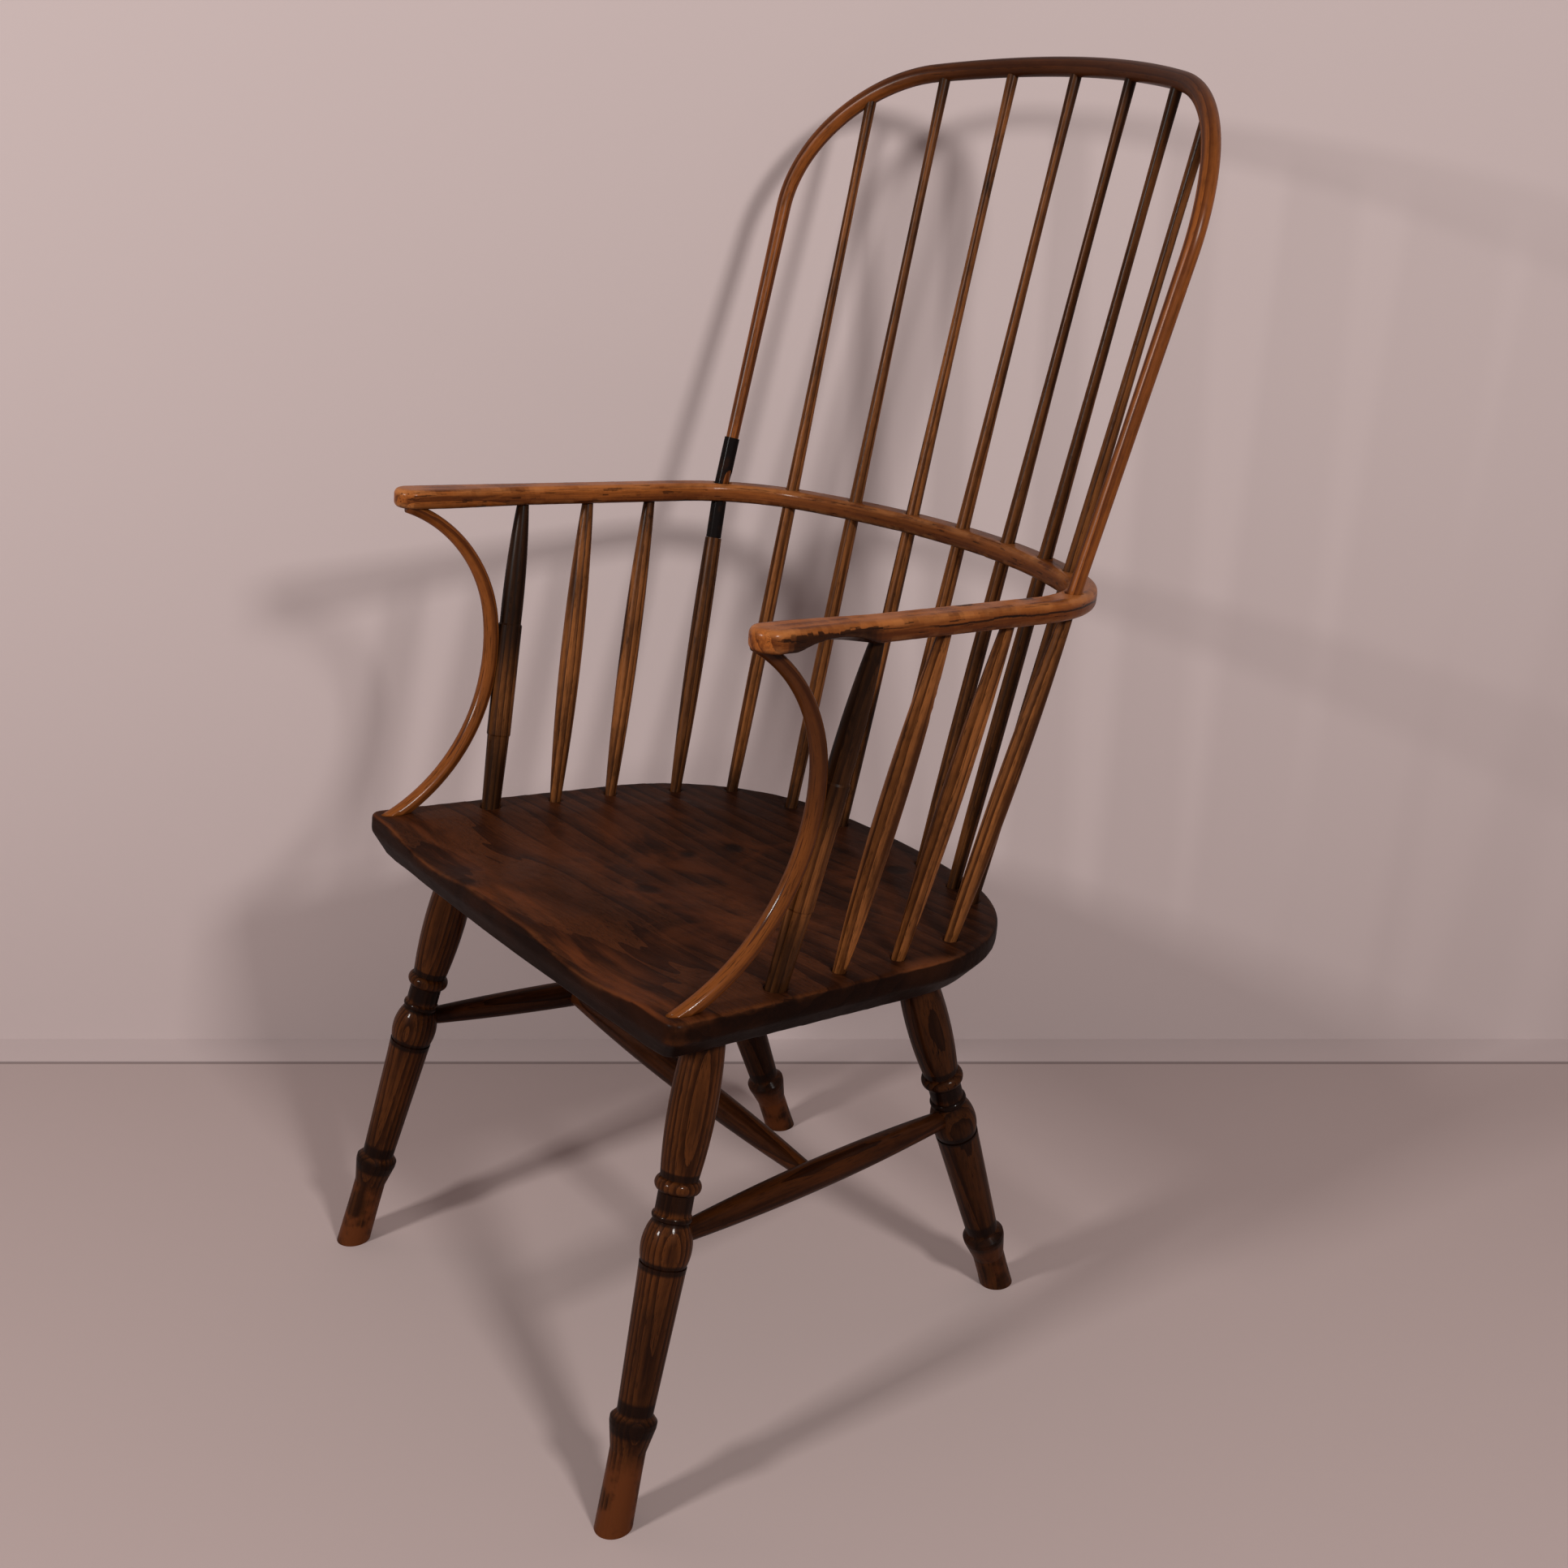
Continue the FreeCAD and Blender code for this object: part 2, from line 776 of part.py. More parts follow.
# The stick below each end of the hoop; the mended one has a shoulder for the sleeve
def hoop_stick(side):
    mended = side < 0
    top_run = hoop_stick_tenon_depth + (sleeve_below if mended else 0.0)
    top_diameter = sleeve_shoulder_diameter if mended else arm_stick_end_diameter

    def stations_of(length):
        return [
            (stick_seat_depth, arm_stick_end_diameter / 2),
            (length * arm_stick_swell_place, hoop_stick_diameter / 2),
            (length - top_run, top_diameter / 2),
        ]

    return under_arm(
        side,
        hoop_station,
        hoop_stick_seat_depth,
        hoop_stick_seat_inset,
        hoop_stick_tenon_depth,
        stations_of,
        (arm_stick_end_diameter, arm_stick_end_diameter),
    )


# Posts: turned with a block that stands proud between two shoulders


def post(side):
    def stations_of(length):
        lower = length * post_lower_shoulder
        upper = length * post_upper_shoulder
        return [
            (stick_seat_depth, post_foot_diameter / 2),
            (lower, post_lower_diameter / 2),
            (lower + post_step, post_block_diameter / 2),
            (upper - post_step, post_block_diameter / 2),
            (upper, post_upper_diameter / 2),
            (length - arm_stick_tenon_depth, post_head_diameter / 2, post_upper_bulge / 2),
        ]

    return under_arm(
        side,
        post_station,
        post_seat_depth,
        post_seat_inset,
        arm_stick_tenon_depth,
        stations_of,
        (post_foot_diameter, post_head_diameter),
    )


def turned_post(stick, growth=0.0):
    extra = end_gap if growth else 0.0
    grown = [(s[0],) + tuple(radius + growth for radius in s[1:]) for s in stick.stations]
    first = (-extra, stick.end_diameters[0] / 2 + growth)
    last = (stick.length + extra, stick.end_diameters[1] / 2 + growth)
    return laid(turning([first] + grown + [last]), stick.start, stick.finish)


# Iron sleeve: a tube up the hoop's right end and down over its stick, through the arm


def sleeve_tubes(stick, growth=0.0):
    diameter = sleeve_diameter + 2 * growth
    extra = end_gap if growth else 0.0
    overlap = hoop_tenon_depth / 2
    up = (stick.finish - stick.start).normalize()
    middle = stick.finish + up * (overlap + extra)
    bottom = stick.finish - up * (hoop_stick_tenon_depth + sleeve_below - end_gap)
    upper = hoop_foot_bar(-1, diameter, hoop_start() - extra, sleeve_above)
    lower = cylinder(bottom, middle, diameter)
    return upper.fuse(lower)


# Crooks


def crook_point(side, height, depth):
    x = crook_seat_x + (height - seat_front_height) * math.tan(math.radians(crook_lean))
    return vector(side * x, depth, height)


# Points from below the seat's surface, up round the back of the bend, into the hand
def crook_path(side):
    upper_radius = left_crook_upper_radius if side > 0 else crook_upper_radius
    points = []
    sweep = crook_lower_sweep + crook_upper_sweep
    for index in range(crook_sections):
        angle = sweep * index / (crook_sections - 1) - crook_lower_sweep
        radius = upper_radius if angle > 0 else crook_lower_radius
        turn = math.radians(angle)
        depth = crook_back_y - radius * (1 - math.cos(turn))
        height = crook_back_height + radius * math.sin(turn)
        points.append(crook_point(side, height, depth))
    return points


def crook_diameter(place):
    stops = ((0.0, crook_foot_diameter), (0.4, crook_middle_diameter), (1.0, crook_top_diameter))
    return blend(place, stops)


def crook_bar(side, growth=0.0):
    last = crook_sections - 1
    diameters = [crook_diameter(i / last) + 2 * growth for i in range(crook_sections)]
    return round_bar(crook_path(side), diameters, X_AXIS)


# A tenon square to a plane, where the crook's line passes through it
def crook_tenon(side, place, height, into, growth=0.0):
    normal = place.Rotation.multVec(Z_AXIS)
    path = crook_path(side)
    for start, finish in zip(path, path[1:]):
        below = (start - place.Base).dot(normal) - height
        above = (finish - place.Base).dot(normal) - height
        if below <= 0 < above:
            crossing = start + (finish - start) * (below / (below - above))
    tip = crossing + normal * (into * (crook_tenon_depth + (end_gap if growth else 0.0)))
    root = crossing - normal * (into * crook_tenon_diameter / 2)
    return cylinder(root, tip, crook_tenon_diameter + 2 * growth)


def crook_tenons(side, growth=0.0):
    return [
        crook_tenon(side, seat_place, 0.0, -1, growth),
        crook_tenon(side, arm_place, -arm_thickness / 2, 1, growth),
    ]


def crook(side):
    bar = crook_bar(side)
    bar = bar.cut(beyond_plane(seat_place, joint_gap, False))
    bar = bar.cut(beyond_plane(arm_place, -arm_thickness / 2 - joint_gap, True))
    for tenon in crook_tenons(side):
        bar = bar.fuse(tenon)
    return bar


# All the pieces

floor = beyond_plane(FreeCAD.Placement(), 0.0, False)
back_sticks = [back_stick(*places) for places in zip(stick_places_at_arm, stick_places_at_hoop)]
arm_sticks = {name: [arm_stick(side, n) for n in range(len(arm_stick_stations))] for name, side in SIDES}
hoop_sticks = {name: hoop_stick(side) for name, side in SIDES}
posts = {name: post(side) for name, side in SIDES}
legs = list(front_legs.values()) + list(rear_legs.values())

pieces = {}

seat = cut_all(seat_slab(), [space_above_seat()])
under_arm_sticks = [stick for name in arm_sticks for stick in arm_sticks[name]]
under_arm_sticks += list(hoop_sticks.values())
seat = cut_all(seat, [stick.made(joint_gap) for stick in back_sticks + under_arm_sticks])
seat = cut_all(seat, [turned_post(post_stick, joint_gap) for post_stick in posts.values()])
seat = cut_all(seat, [leg.tenon(joint_gap) for leg in legs])
for name, side in SIDES:
    seat = seat.cut(crook_tenon(side, seat_place, 0.0, -1, joint_gap))
pieces["seat"] = seat

under_seat = seat_slab()
under_seat.translate(Z_AXIS * -leg_shoulder_gap)
above_saddle = space_above_seat(leg_shoulder_gap)
for position, pair in (("front", front_legs), ("rear", rear_legs)):
    for name, leg in pair.items():
        body = leg.turned().cut(under_seat)
        body = body.fuse(leg.tenon()).removeSplitter()
        body = cut_all(body, [above_saddle, floor, leg.wedge(joint_gap)])
        body = body.cut(side_stretchers[name].socket())
        pieces["leg_" + position + "_" + name] = body

wedges = [leg.wedge().common(leg.tenon()).cut(above_saddle) for leg in legs]
pieces["leg_wedges"] = Part.makeCompound(wedges)

for name, stretcher in side_stretchers.items():
    around = [front_legs[name].turned(joint_gap), rear_legs[name].turned(joint_gap)]
    made = stretcher.made(around)
    pieces["side_stretcher_" + name] = made.cut(cross_stretcher.socket())
beside = [stretcher.body(joint_gap) for stretcher in side_stretchers.values()]
pieces["cross_stretcher"] = cross_stretcher.made(beside)

arm_bow = cut_all(arm_band(), [stick.made(joint_gap) for stick in back_sticks])
for name, side in SIDES:
    tools = [stick.made(joint_gap) for stick in arm_sticks[name]]
    tools.append(turned_post(posts[name], joint_gap))
    tools.append(crook_tenon(side, arm_place, -arm_thickness / 2, 1, joint_gap))
    arm_bow = cut_all(arm_bow, tools)
pocket_diameter = hoop_foot_diameter + 4 * joint_gap
pocket_top = hoop_start() + 2 * end_gap
hoop_sockets = [hoop_bar(joint_gap)]
for name, side in SIDES:
    hoop_sockets.append(hoop_foot_bar(side, pocket_diameter, hoop_start() - end_gap, pocket_top))
sleeve_outside = sleeve_tubes(hoop_sticks["right"], joint_gap)
arm_bow = cut_all(arm_bow, hoop_sockets + [hoop_sticks["left"].made(joint_gap), sleeve_outside])
pieces["arm_bow"] = arm_bow

hoop = cut_all(hoop_bar(), [stick.made(joint_gap) for stick in back_sticks])
pieces["back_hoop"] = hoop
sleeve = sleeve_tubes(hoop_sticks["right"])
pieces["hoop_sleeve"] = cut_all(sleeve, hoop_sockets + [hoop_sticks["right"].made(joint_gap)])

for number, stick in enumerate(back_sticks, 1):
    pieces["back_stick_" + str(number)] = stick.made()
for name, side in SIDES:
    for number, stick in enumerate(arm_sticks[name], 1):
        pieces["arm_stick_" + name + "_" + str(number)] = stick.made()
    pieces["hoop_stick_" + name] = hoop_sticks[name].made()
    let_in = crook_bar(side, joint_gap)
    pieces["arm_post_" + name] = turned_post(posts[name]).cut(let_in)
    pieces["arm_crook_" + name] = crook(side)

os.makedirs("parts", exist_ok=True)
for node, shape in pieces.items():
    shape.exportStep("parts/" + node + ".step")
    print(node, round(shape.Volume / 1000, 1), "cm3, solids", len(shape.Solids), shape.isValid())
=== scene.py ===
# %% [markdown]
# # A stick-back armchair, dressed for its portrait
# The chair's solids come in as a fixed frame, in metres, standing on the floor at the origin.
# This lesson dresses them: it lays grain along every turned and shaved piece, bends new bars for
# the hoop and the crooked arm supports, wears the seat and the arm bow soft, and lights it all
# in front of a plain wall. Each step first says what the piece is and why it is made that way.

import math

import bmesh
import bpy
import numpy
from mathutils import Matrix, Vector


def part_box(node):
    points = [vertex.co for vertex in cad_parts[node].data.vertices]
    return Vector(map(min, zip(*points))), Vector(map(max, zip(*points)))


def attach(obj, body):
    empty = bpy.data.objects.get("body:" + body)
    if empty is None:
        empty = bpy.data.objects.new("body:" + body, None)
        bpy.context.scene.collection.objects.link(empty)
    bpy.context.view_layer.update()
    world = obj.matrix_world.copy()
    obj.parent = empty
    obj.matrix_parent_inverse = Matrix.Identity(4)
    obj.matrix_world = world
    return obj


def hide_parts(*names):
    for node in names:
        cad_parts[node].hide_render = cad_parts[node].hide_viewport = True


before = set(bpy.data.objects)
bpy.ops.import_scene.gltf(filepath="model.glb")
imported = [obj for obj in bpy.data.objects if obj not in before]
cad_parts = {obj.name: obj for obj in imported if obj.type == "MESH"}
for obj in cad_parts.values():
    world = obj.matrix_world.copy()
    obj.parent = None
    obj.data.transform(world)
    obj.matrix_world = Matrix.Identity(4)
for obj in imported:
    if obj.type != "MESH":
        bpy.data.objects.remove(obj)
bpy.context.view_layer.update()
print("pieces in the frame:", len(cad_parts))

# %% [markdown]
# ## The camera
# The picture was taken standing, from the chair's front left, a little above the arm bow. A camera
# can be aimed by a track constraint or by hand; here its three axes are written out, because they
# were found by fitting the chair's own corners, and that way nothing rounds them off.

# %% Place the camera
eye = Vector((1.3084, -0.9240, 1.0860))
to_right = Vector((0.5841, 0.8116, 0.0))
to_top = Vector((-0.2922, 0.2103, 0.9329))
to_back = Vector((0.7572, -0.5450, 0.3600))

camera_lens = bpy.data.cameras.new("portrait_camera")
camera_lens.sensor_width = 36.0
camera_lens.lens = 45.51
camera = bpy.data.objects.new("portrait_camera", camera_lens)
camera.matrix_world = Matrix((
    (to_right.x, to_top.x, to_back.x, eye.x),
    (to_right.y, to_top.y, to_back.y, eye.y),
    (to_right.z, to_top.z, to_back.z, eye.z),
    (0.0, 0.0, 0.0, 1.0),
))
bpy.context.scene.collection.objects.link(camera)
bpy.context.scene.camera = camera
print("camera is", round(eye.length, 3), "m from the origin")

# %% [markdown]
# ## Shader arithmetic
# Every finish below is a sum of masks: rings, pores, dirt, wear. Written as nodes by hand, such
# sums are long and hard to read. A small class wraps a socket, so that `1 - dirt * 0.4` adds the
# Math nodes by itself. Colours go through Mix nodes, because a Math node would turn them grey.


# %% Wrap a socket so that arithmetic adds Math nodes
class Amount:
    """One number that changes over a surface."""

    def __init__(self, finish, socket):
        self.finish = finish
        self.socket = socket

    def __add__(self, other):
        return self.finish.sum("ADD", self, other)

    def __sub__(self, other):
        return self.finish.sum("SUBTRACT", self, other)

    def __rsub__(self, other):
        return self.finish.sum("SUBTRACT", other, self)

    def __mul__(self, other):
        return self.finish.sum("MULTIPLY", self, other)

    def size(self):
        return self.finish.sum("ABSOLUTE", self)

    def at_most(self, limit):
        return self.finish.sum("MINIMUM", self, limit)

    __radd__ = __add__
    __rmul__ = __mul__


class Nodes:
    """A node tree, with one method that adds any node."""

    def __init__(self, tree):
        self.tree = tree

    def node(self, kind, settings=None, values=None):
        made = self.tree.nodes.new(kind)
        for key, setting in (settings or {}).items():
            setattr(made, key, setting)
        for key, value in (values or {}).items():
            self.feed(made.inputs[key], value)
        return made

    def feed(self, socket, value):
        if isinstance(value, Amount):
            value = value.socket
        if isinstance(value, bpy.types.NodeSocket):
            self.tree.links.new(value, socket)
        elif isinstance(value, tuple) and len(value) == 3 and socket.type == "RGBA":
            socket.default_value = (*value, 1.0)
        else:
            socket.default_value = value

    def sum(self, operation, *terms):
        made = self.node("ShaderNodeMath", {"operation": operation}, dict(enumerate(terms)))
        return Amount(self, made.outputs[0])


class Finish(Nodes):
    """A material under construction."""

    def __init__(self, name):
        self.material = bpy.data.materials.new(name)
        self.material.use_nodes = True
        super().__init__(self.material.node_tree)
        self.tree.nodes.clear()
        self.surface = self.node("ShaderNodeBsdfPrincipled")
        self.node("ShaderNodeOutputMaterial", {}, {"Surface": self.surface.outputs[0]})
        self.places = self.node("ShaderNodeTexCoord").outputs["Object"]


print("shader arithmetic is ready")

# %% [markdown]
# ## Patterns that every finish shares
# Noise gives clouds of dirt and polish, and a step with soft edges cuts a mask out of any number.
# A ramp node could cut the masks too, but Map Range says its two limits in plain figures.


# %% Name the shared patterns
def step(amount, low, high):
    """0 below low, 1 above high, and a soft change between them."""
    finish = amount.finish
    made = finish.node(
        "ShaderNodeMapRange",
        {"interpolation_type": "SMOOTHSTEP"},
        {"Value": amount, "From Min": low, "From Max": high},
    )
    return Amount(finish, made.outputs[0])


def cloud(finish, at, scale, detail=3.0, roughness=0.55, twist=0.0):
    """Noise from 0 to 1. A larger scale gives smaller clouds."""
    made = finish.node(
        "ShaderNodeTexNoise",
        {},
        {"Vector": at, "Scale": scale, "Detail": detail,
         "Roughness": roughness, "Distortion": twist},
    )
    return Amount(finish, made.outputs[0])


def stretched(finish, at, by, shift=(0.0, 0.0, 0.0)):
    terms = {0: at, 1: by, 2: shift}
    return finish.node("ShaderNodeVectorMath", {"operation": "MULTIPLY_ADD"}, terms).outputs[0]


def mixed(finish, mask, first, second):
    made = finish.node("ShaderNodeMix", {"data_type": "RGBA"}, {0: mask, 6: first, 7: second})
    return made.outputs[2]


def split(finish, vector):
    made = finish.node("ShaderNodeSeparateXYZ", {}, {0: vector})
    return [Amount(finish, socket) for socket in made.outputs]


def length(finish, vector):
    made = finish.node("ShaderNodeVectorMath", {"operation": "LENGTH"}, {0: vector})
    return Amount(finish, made.outputs["Value"])


def carried(finish, attribute):
    """The outputs of an attribute that the mesh keeps at its points."""
    return finish.node("ShaderNodeAttribute", {"attribute_name": attribute}).outputs


print("shared patterns: step, cloud, stretched, mixed, split, length and carried")

# %% [markdown]
# ## Old ash and elm
# The chair is ash and elm, both with coarse open pores in every year's first growth. Seen along
# a rounded stick, the years make long stripes, and where a turned leg swells or narrows, they
# draw nested arches. A picture of wood wrapped round the piece can't do that. So the pattern is
# solid: rings round a pith that lies beside the piece, stretched along it, as in a real log.
# On top come pores, brown clouds of old polish, and dirt where hands never rub.


# %% Mix a wood finish in the coordinates of the straight piece
# How each pattern is stretched: two figures across the grain, and one along it
ring_grain = (1.0, 1.0, 0.06)
fibre_grain = (420.0, 420.0, 9.0)
pore_grain = (1500.0, 1500.0, 55.0)
polish_grain = (14.0, 14.0, 5.0)
fleck_grain = (210.0, 210.0, 90.0)
rings_to_scale = 6.0
darkest = 0.92


def wood(finish, at, colours, pith, rings=260.0, waviness=2.2, pores=0.6, dirt=0.45, gloss=0.34):
    """Returns the wood's colour and its relief. at is in metres, with the grain along Z."""
    dark, middle, light = colours
    slow = stretched(finish, at, ring_grain, pith)
    growth = finish.node(
        "ShaderNodeTexWave",
        {"wave_type": "RINGS", "rings_direction": "Z", "wave_profile": "SAW"},
        {"Vector": slow, "Scale": rings / rings_to_scale, "Distortion": waviness, "Detail": 2.0,
         "Detail Scale": 1.6, "Detail Roughness": 0.6},
    )
    years = Amount(finish, growth.outputs["Fac"])
    early = step(years, 0.45, 0.95)
    fibre = cloud(finish, stretched(finish, at, fibre_grain, pith), 1.0, 4.0)
    open_pores = step(cloud(finish, stretched(finish, at, pore_grain), 1.0, 2.0), 0.55, 0.68)
    polish = cloud(finish, stretched(finish, at, polish_grain, pith), 1.0, 5.0, 0.62, 0.4)
    fleck = cloud(finish, stretched(finish, at, fleck_grain), 1.0, 3.0, 0.6)
    tone = years * 0.42 + fibre * 0.62 + fleck * 0.26 - 0.16
    ground = mixed(finish, step(tone, 0.26, 0.68), middle, light)
    shade = step(polish, 0.42, 0.66) * dirt + early * open_pores * pores
    shade = shade + step(fleck, 0.56, 0.7) * dirt * 0.4
    colour = mixed(finish, shade.at_most(darkest), ground, dark)
    relief = fibre * 0.3 + fleck * 0.35 - early * open_pores * 0.5
    roughness = gloss + fleck * 0.16 + step(polish, 0.4, 0.7) * 0.1
    finish.feed(finish.surface.inputs["Roughness"], roughness)
    return colour, relief


def polished(finish, colour, relief, wax=0.3, depth=0.00035, haze=0.12):
    """Connects colour and relief under a thin coat of old wax. haze is the coat's roughness."""
    bump = finish.node("ShaderNodeBump", {}, {"Height": relief, "Distance": depth, "Strength": 0.9})
    finish.feed(finish.surface.inputs["Base Color"], colour)
    finish.feed(finish.surface.inputs["Normal"], bump.outputs[0])
    finish.surface.inputs["Coat Weight"].default_value = wax
    finish.surface.inputs["Coat Roughness"].default_value = haze
    finish.surface.inputs["Coat IOR"].default_value = 1.35
    finish.surface.inputs["Specular IOR Level"].default_value = 0.02
    return finish.material


print("wood recipe: years, fibre, pores, polish and fleck under a coat of wax")

# %% [markdown]
# ## Grain along straight pieces
# Legs, stretchers, sticks and posts are straight, but none stands upright. Their shapes are
# right already, so they keep their meshes and get only a finish. A Mapping node turns the
# pattern until its Z axis lies along the piece: the long axis is read from the mesh itself, by a
# singular value decomposition, which saves a table of forty typed angles.


# %% Find each straight piece's line and turn the grain onto it
svd_points = 4000


def lie(node):
    """Middle, turn and half length of a straight piece."""
    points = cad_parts[node].data.vertices
    corners = numpy.empty(len(points) * 3)
    points.foreach_get("co", corners)
    corners = corners.reshape(-1, 3)
    low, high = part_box(node)
    middle = (low + high) / 2
    loose = corners - corners.mean(axis=0)
    every = max(1, len(loose) // svd_points)
    axis = Vector(numpy.linalg.svd(loose[::every], full_matrices=False)[2][0])
    if axis.z < 0:
        axis.negate()
    along = loose @ numpy.array(axis)
    return middle, axis.to_track_quat("Z", "Y").to_euler(), (along.max() - along.min()) / 2


def turned(finish, middle, turn):
    """Coordinates with their origin at middle and Z turned along the grain."""
    made = finish.node(
        "ShaderNodeMapping",
        {"vector_type": "TEXTURE"},
        {"Vector": finish.places, "Location": tuple(middle), "Rotation": tuple(turn)},
    )
    return made.outputs[0]


def grain_of(finish, node):
    middle, turn, half = lie(node)
    return turned(finish, middle, turn), half


def toned(colour, tone):
    return tuple(part * tone for part in colour)


def give(node, material):
    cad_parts[node].data.materials.clear()
    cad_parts[node].data.materials.append(material)


print("the left front leg is", round(2 * lie("leg_front_left")[2], 3), "m long")

# %% [markdown]
# ## Turned legs and stretchers
# Legs and stretchers are dark, nearly black under the beads where wax and dust settled, and
# the legs are a warmer brown on the bulbs and the scuffed feet. The dirt in the grooves
# could come from a pointiness map, but that reads the mesh's own edges and is lost when the
# chair is exported. The grooves' distances along the leg are known, so bands at those places do.
# The legs come right through the seat, where wax has closed over their tops.

# %% Finish the legs and stretchers
leg_colours = ((0.0045, 0.0017, 0.0011), (0.026, 0.0072, 0.0021), (0.098, 0.0290, 0.0070))
stretcher_colours = ((0.0040, 0.0015, 0.0010), (0.014, 0.0038, 0.0012), (0.046, 0.0125, 0.0030))
# Each groove's distance below the leg's top, and the width of its band of dirt
leg_grooves = (
    (0.1545, 0.0040), (0.1745, 0.0110), (0.1895, 0.0045),
    (0.2260, 0.0055), (0.3400, 0.0070), (0.3550, 0.0090),
)
scuff_height = 0.085
scuff_colour = (0.088, 0.0235, 0.0062)
wax_from_top = (0.034, 0.026)
wax_colour = (0.013, 0.0048, 0.0026)
# Each leg's tone, and how warm its scuffed foot is. The two rear legs' darker tones are
# painted shade, where little lamp light reaches them.
leg_tones_and_shade = {
    "leg_front_left": (0.72, 1.2), "leg_front_right": (0.74, 1.35),
    "leg_rear_left": (0.50, 0.5), "leg_rear_right": (0.42, 0.8),
}

for number, (leg, (tone, warmth)) in enumerate(leg_tones_and_shade.items()):
    finish = Finish(leg + "_wood")
    at, half = grain_of(finish, leg)
    pith = (0.021 + 0.004 * number, -0.017 + 0.005 * number, 0.31 * number)
    tones = [toned(leg_colour, tone) for leg_colour in leg_colours]
    colour, relief = wood(finish, at, tones, pith, rings=430.0, waviness=1.6, pores=0.75)
    height = split(finish, at)[2] + half
    drop = 2 * half - height
    settled = 0.0
    for place, width in leg_grooves:
        settled = (1.0 - step((drop - place).size(), width * 0.5, width)) + settled
    colour = mixed(finish, (settled * 0.85).at_most(0.85), colour, leg_colours[0])
    scuffed = step(scuff_height - height, 0.0, 0.05) * warmth
    rubbed = step(cloud(finish, finish.places, 38.0, 4.0), 0.38, 0.62)
    colour = mixed(finish, (scuffed * rubbed).at_most(0.9), colour, scuff_colour)
    waxed_over = step(height, 2 * half - wax_from_top[0], 2 * half - wax_from_top[1])
    colour = mixed(finish, waxed_over * 0.85, colour, wax_colour)
    give(leg, polished(finish, colour, relief, 0.22, haze=0.1))

stretchers = ("side_stretcher_left", "side_stretcher_right", "cross_stretcher")
for number, stretcher in enumerate(stretchers):
    finish = Finish(stretcher + "_wood")
    at, half = grain_of(finish, stretcher)
    pith = (0.015, 0.024 - 0.006 * number, 0.47 * number)
    colour, relief = wood(finish, at, stretcher_colours, pith, rings=280.0, waviness=3.0)
    give(stretcher, polished(finish, colour, relief, 0.2, haze=0.18))

finish = Finish("leg_wedge_wood")
tones = [toned(leg_colour, 0.4) for leg_colour in leg_colours]
colour, relief = wood(finish, finish.places, tones, (0.05, 0.02, 0.0))
give("leg_wedges", polished(finish, colour, relief, 0.2))
print("turned pieces finished:", len(leg_tones_and_shade) + len(stretchers), "and the wedges")

# %% [markdown]
# ## Shaved sticks and arm posts
# The sticks were shaved by hand from riven ash, and no two took the stain alike: some stayed
# golden, some went nearly black, and one by the middle is mottled all along. One shared finish
# would make them look cast, so each gets the same recipe with its own tone and its own pith.
# The ends of every stick are grubby, and so are the upper half and the foot of each arm post.

# %% Finish the sticks and posts
stick_dark = (0.006, 0.0026, 0.0015)
stick_middle = (0.052, 0.0155, 0.0043)
stick_light = (0.240, 0.0820, 0.0225)
stick_tones = {
    "back_stick_1": 0.55, "back_stick_2": 0.55, "back_stick_3": 0.60, "back_stick_4": 0.85,
    "back_stick_5": 0.90, "back_stick_6": 0.70, "back_stick_7": 0.85,
    "hoop_stick_left": 0.80, "hoop_stick_right": 0.45,
    "arm_stick_left_1": 1.00, "arm_stick_left_2": 1.05,
    "arm_stick_right_1": 0.90, "arm_stick_right_2": 0.95,
    "arm_post_left": 0.80, "arm_post_right": 0.60,
}
mottled_stick = "back_stick_5"
# Along a post, from its middle: where the dark upper half and the dark foot begin and end
post_upper = (-0.02, 0.02)
post_foot = (0.05, 0.10)

for number, (stick, tone) in enumerate(stick_tones.items()):
    finish = Finish(stick + "_wood")
    at, half = grain_of(finish, stick)
    pith = (0.013 + 0.0023 * (number % 5), 0.019 - 0.0031 * (number % 4), 0.23 * number)
    tones = (stick_dark, toned(stick_middle, tone), toned(stick_light, tone))
    mottled = 0.9 if stick == mottled_stick else 0.66
    colour, relief = wood(finish, at, tones, pith, rings=330.0, pores=0.7, dirt=mottled)
    height = split(finish, at)[2]
    grubby = step(height.size(), half * 0.82, half * 1.02)
    if "post" in stick:
        grubby = step(height, *post_upper) + step(0.0 - height, *post_foot)
    colour = mixed(finish, (grubby * 0.75).at_most(0.85), colour, stick_dark)
    give(stick, polished(finish, colour, relief, 0.2, haze=0.28))
print("shaved pieces finished:", len(stick_tones))

# %% [markdown]
# ## Bars that were bent in steam
# The hoop and the two crooked arm supports began as straight rods, so their grain runs round
# the bends with them. A pattern on the object's coordinates would cut straight across. Each bar
# is therefore made anew. A ring of points stands at each station along the bar's line, and a band
# of faces joins it to the ring before. The faces are made one by one, because the extrude
# operator gives them another order in each run. Every point keeps, in an attribute, where it lay
# while the rod was straight.


# %% Build a bar along its line
bar_sides = 28


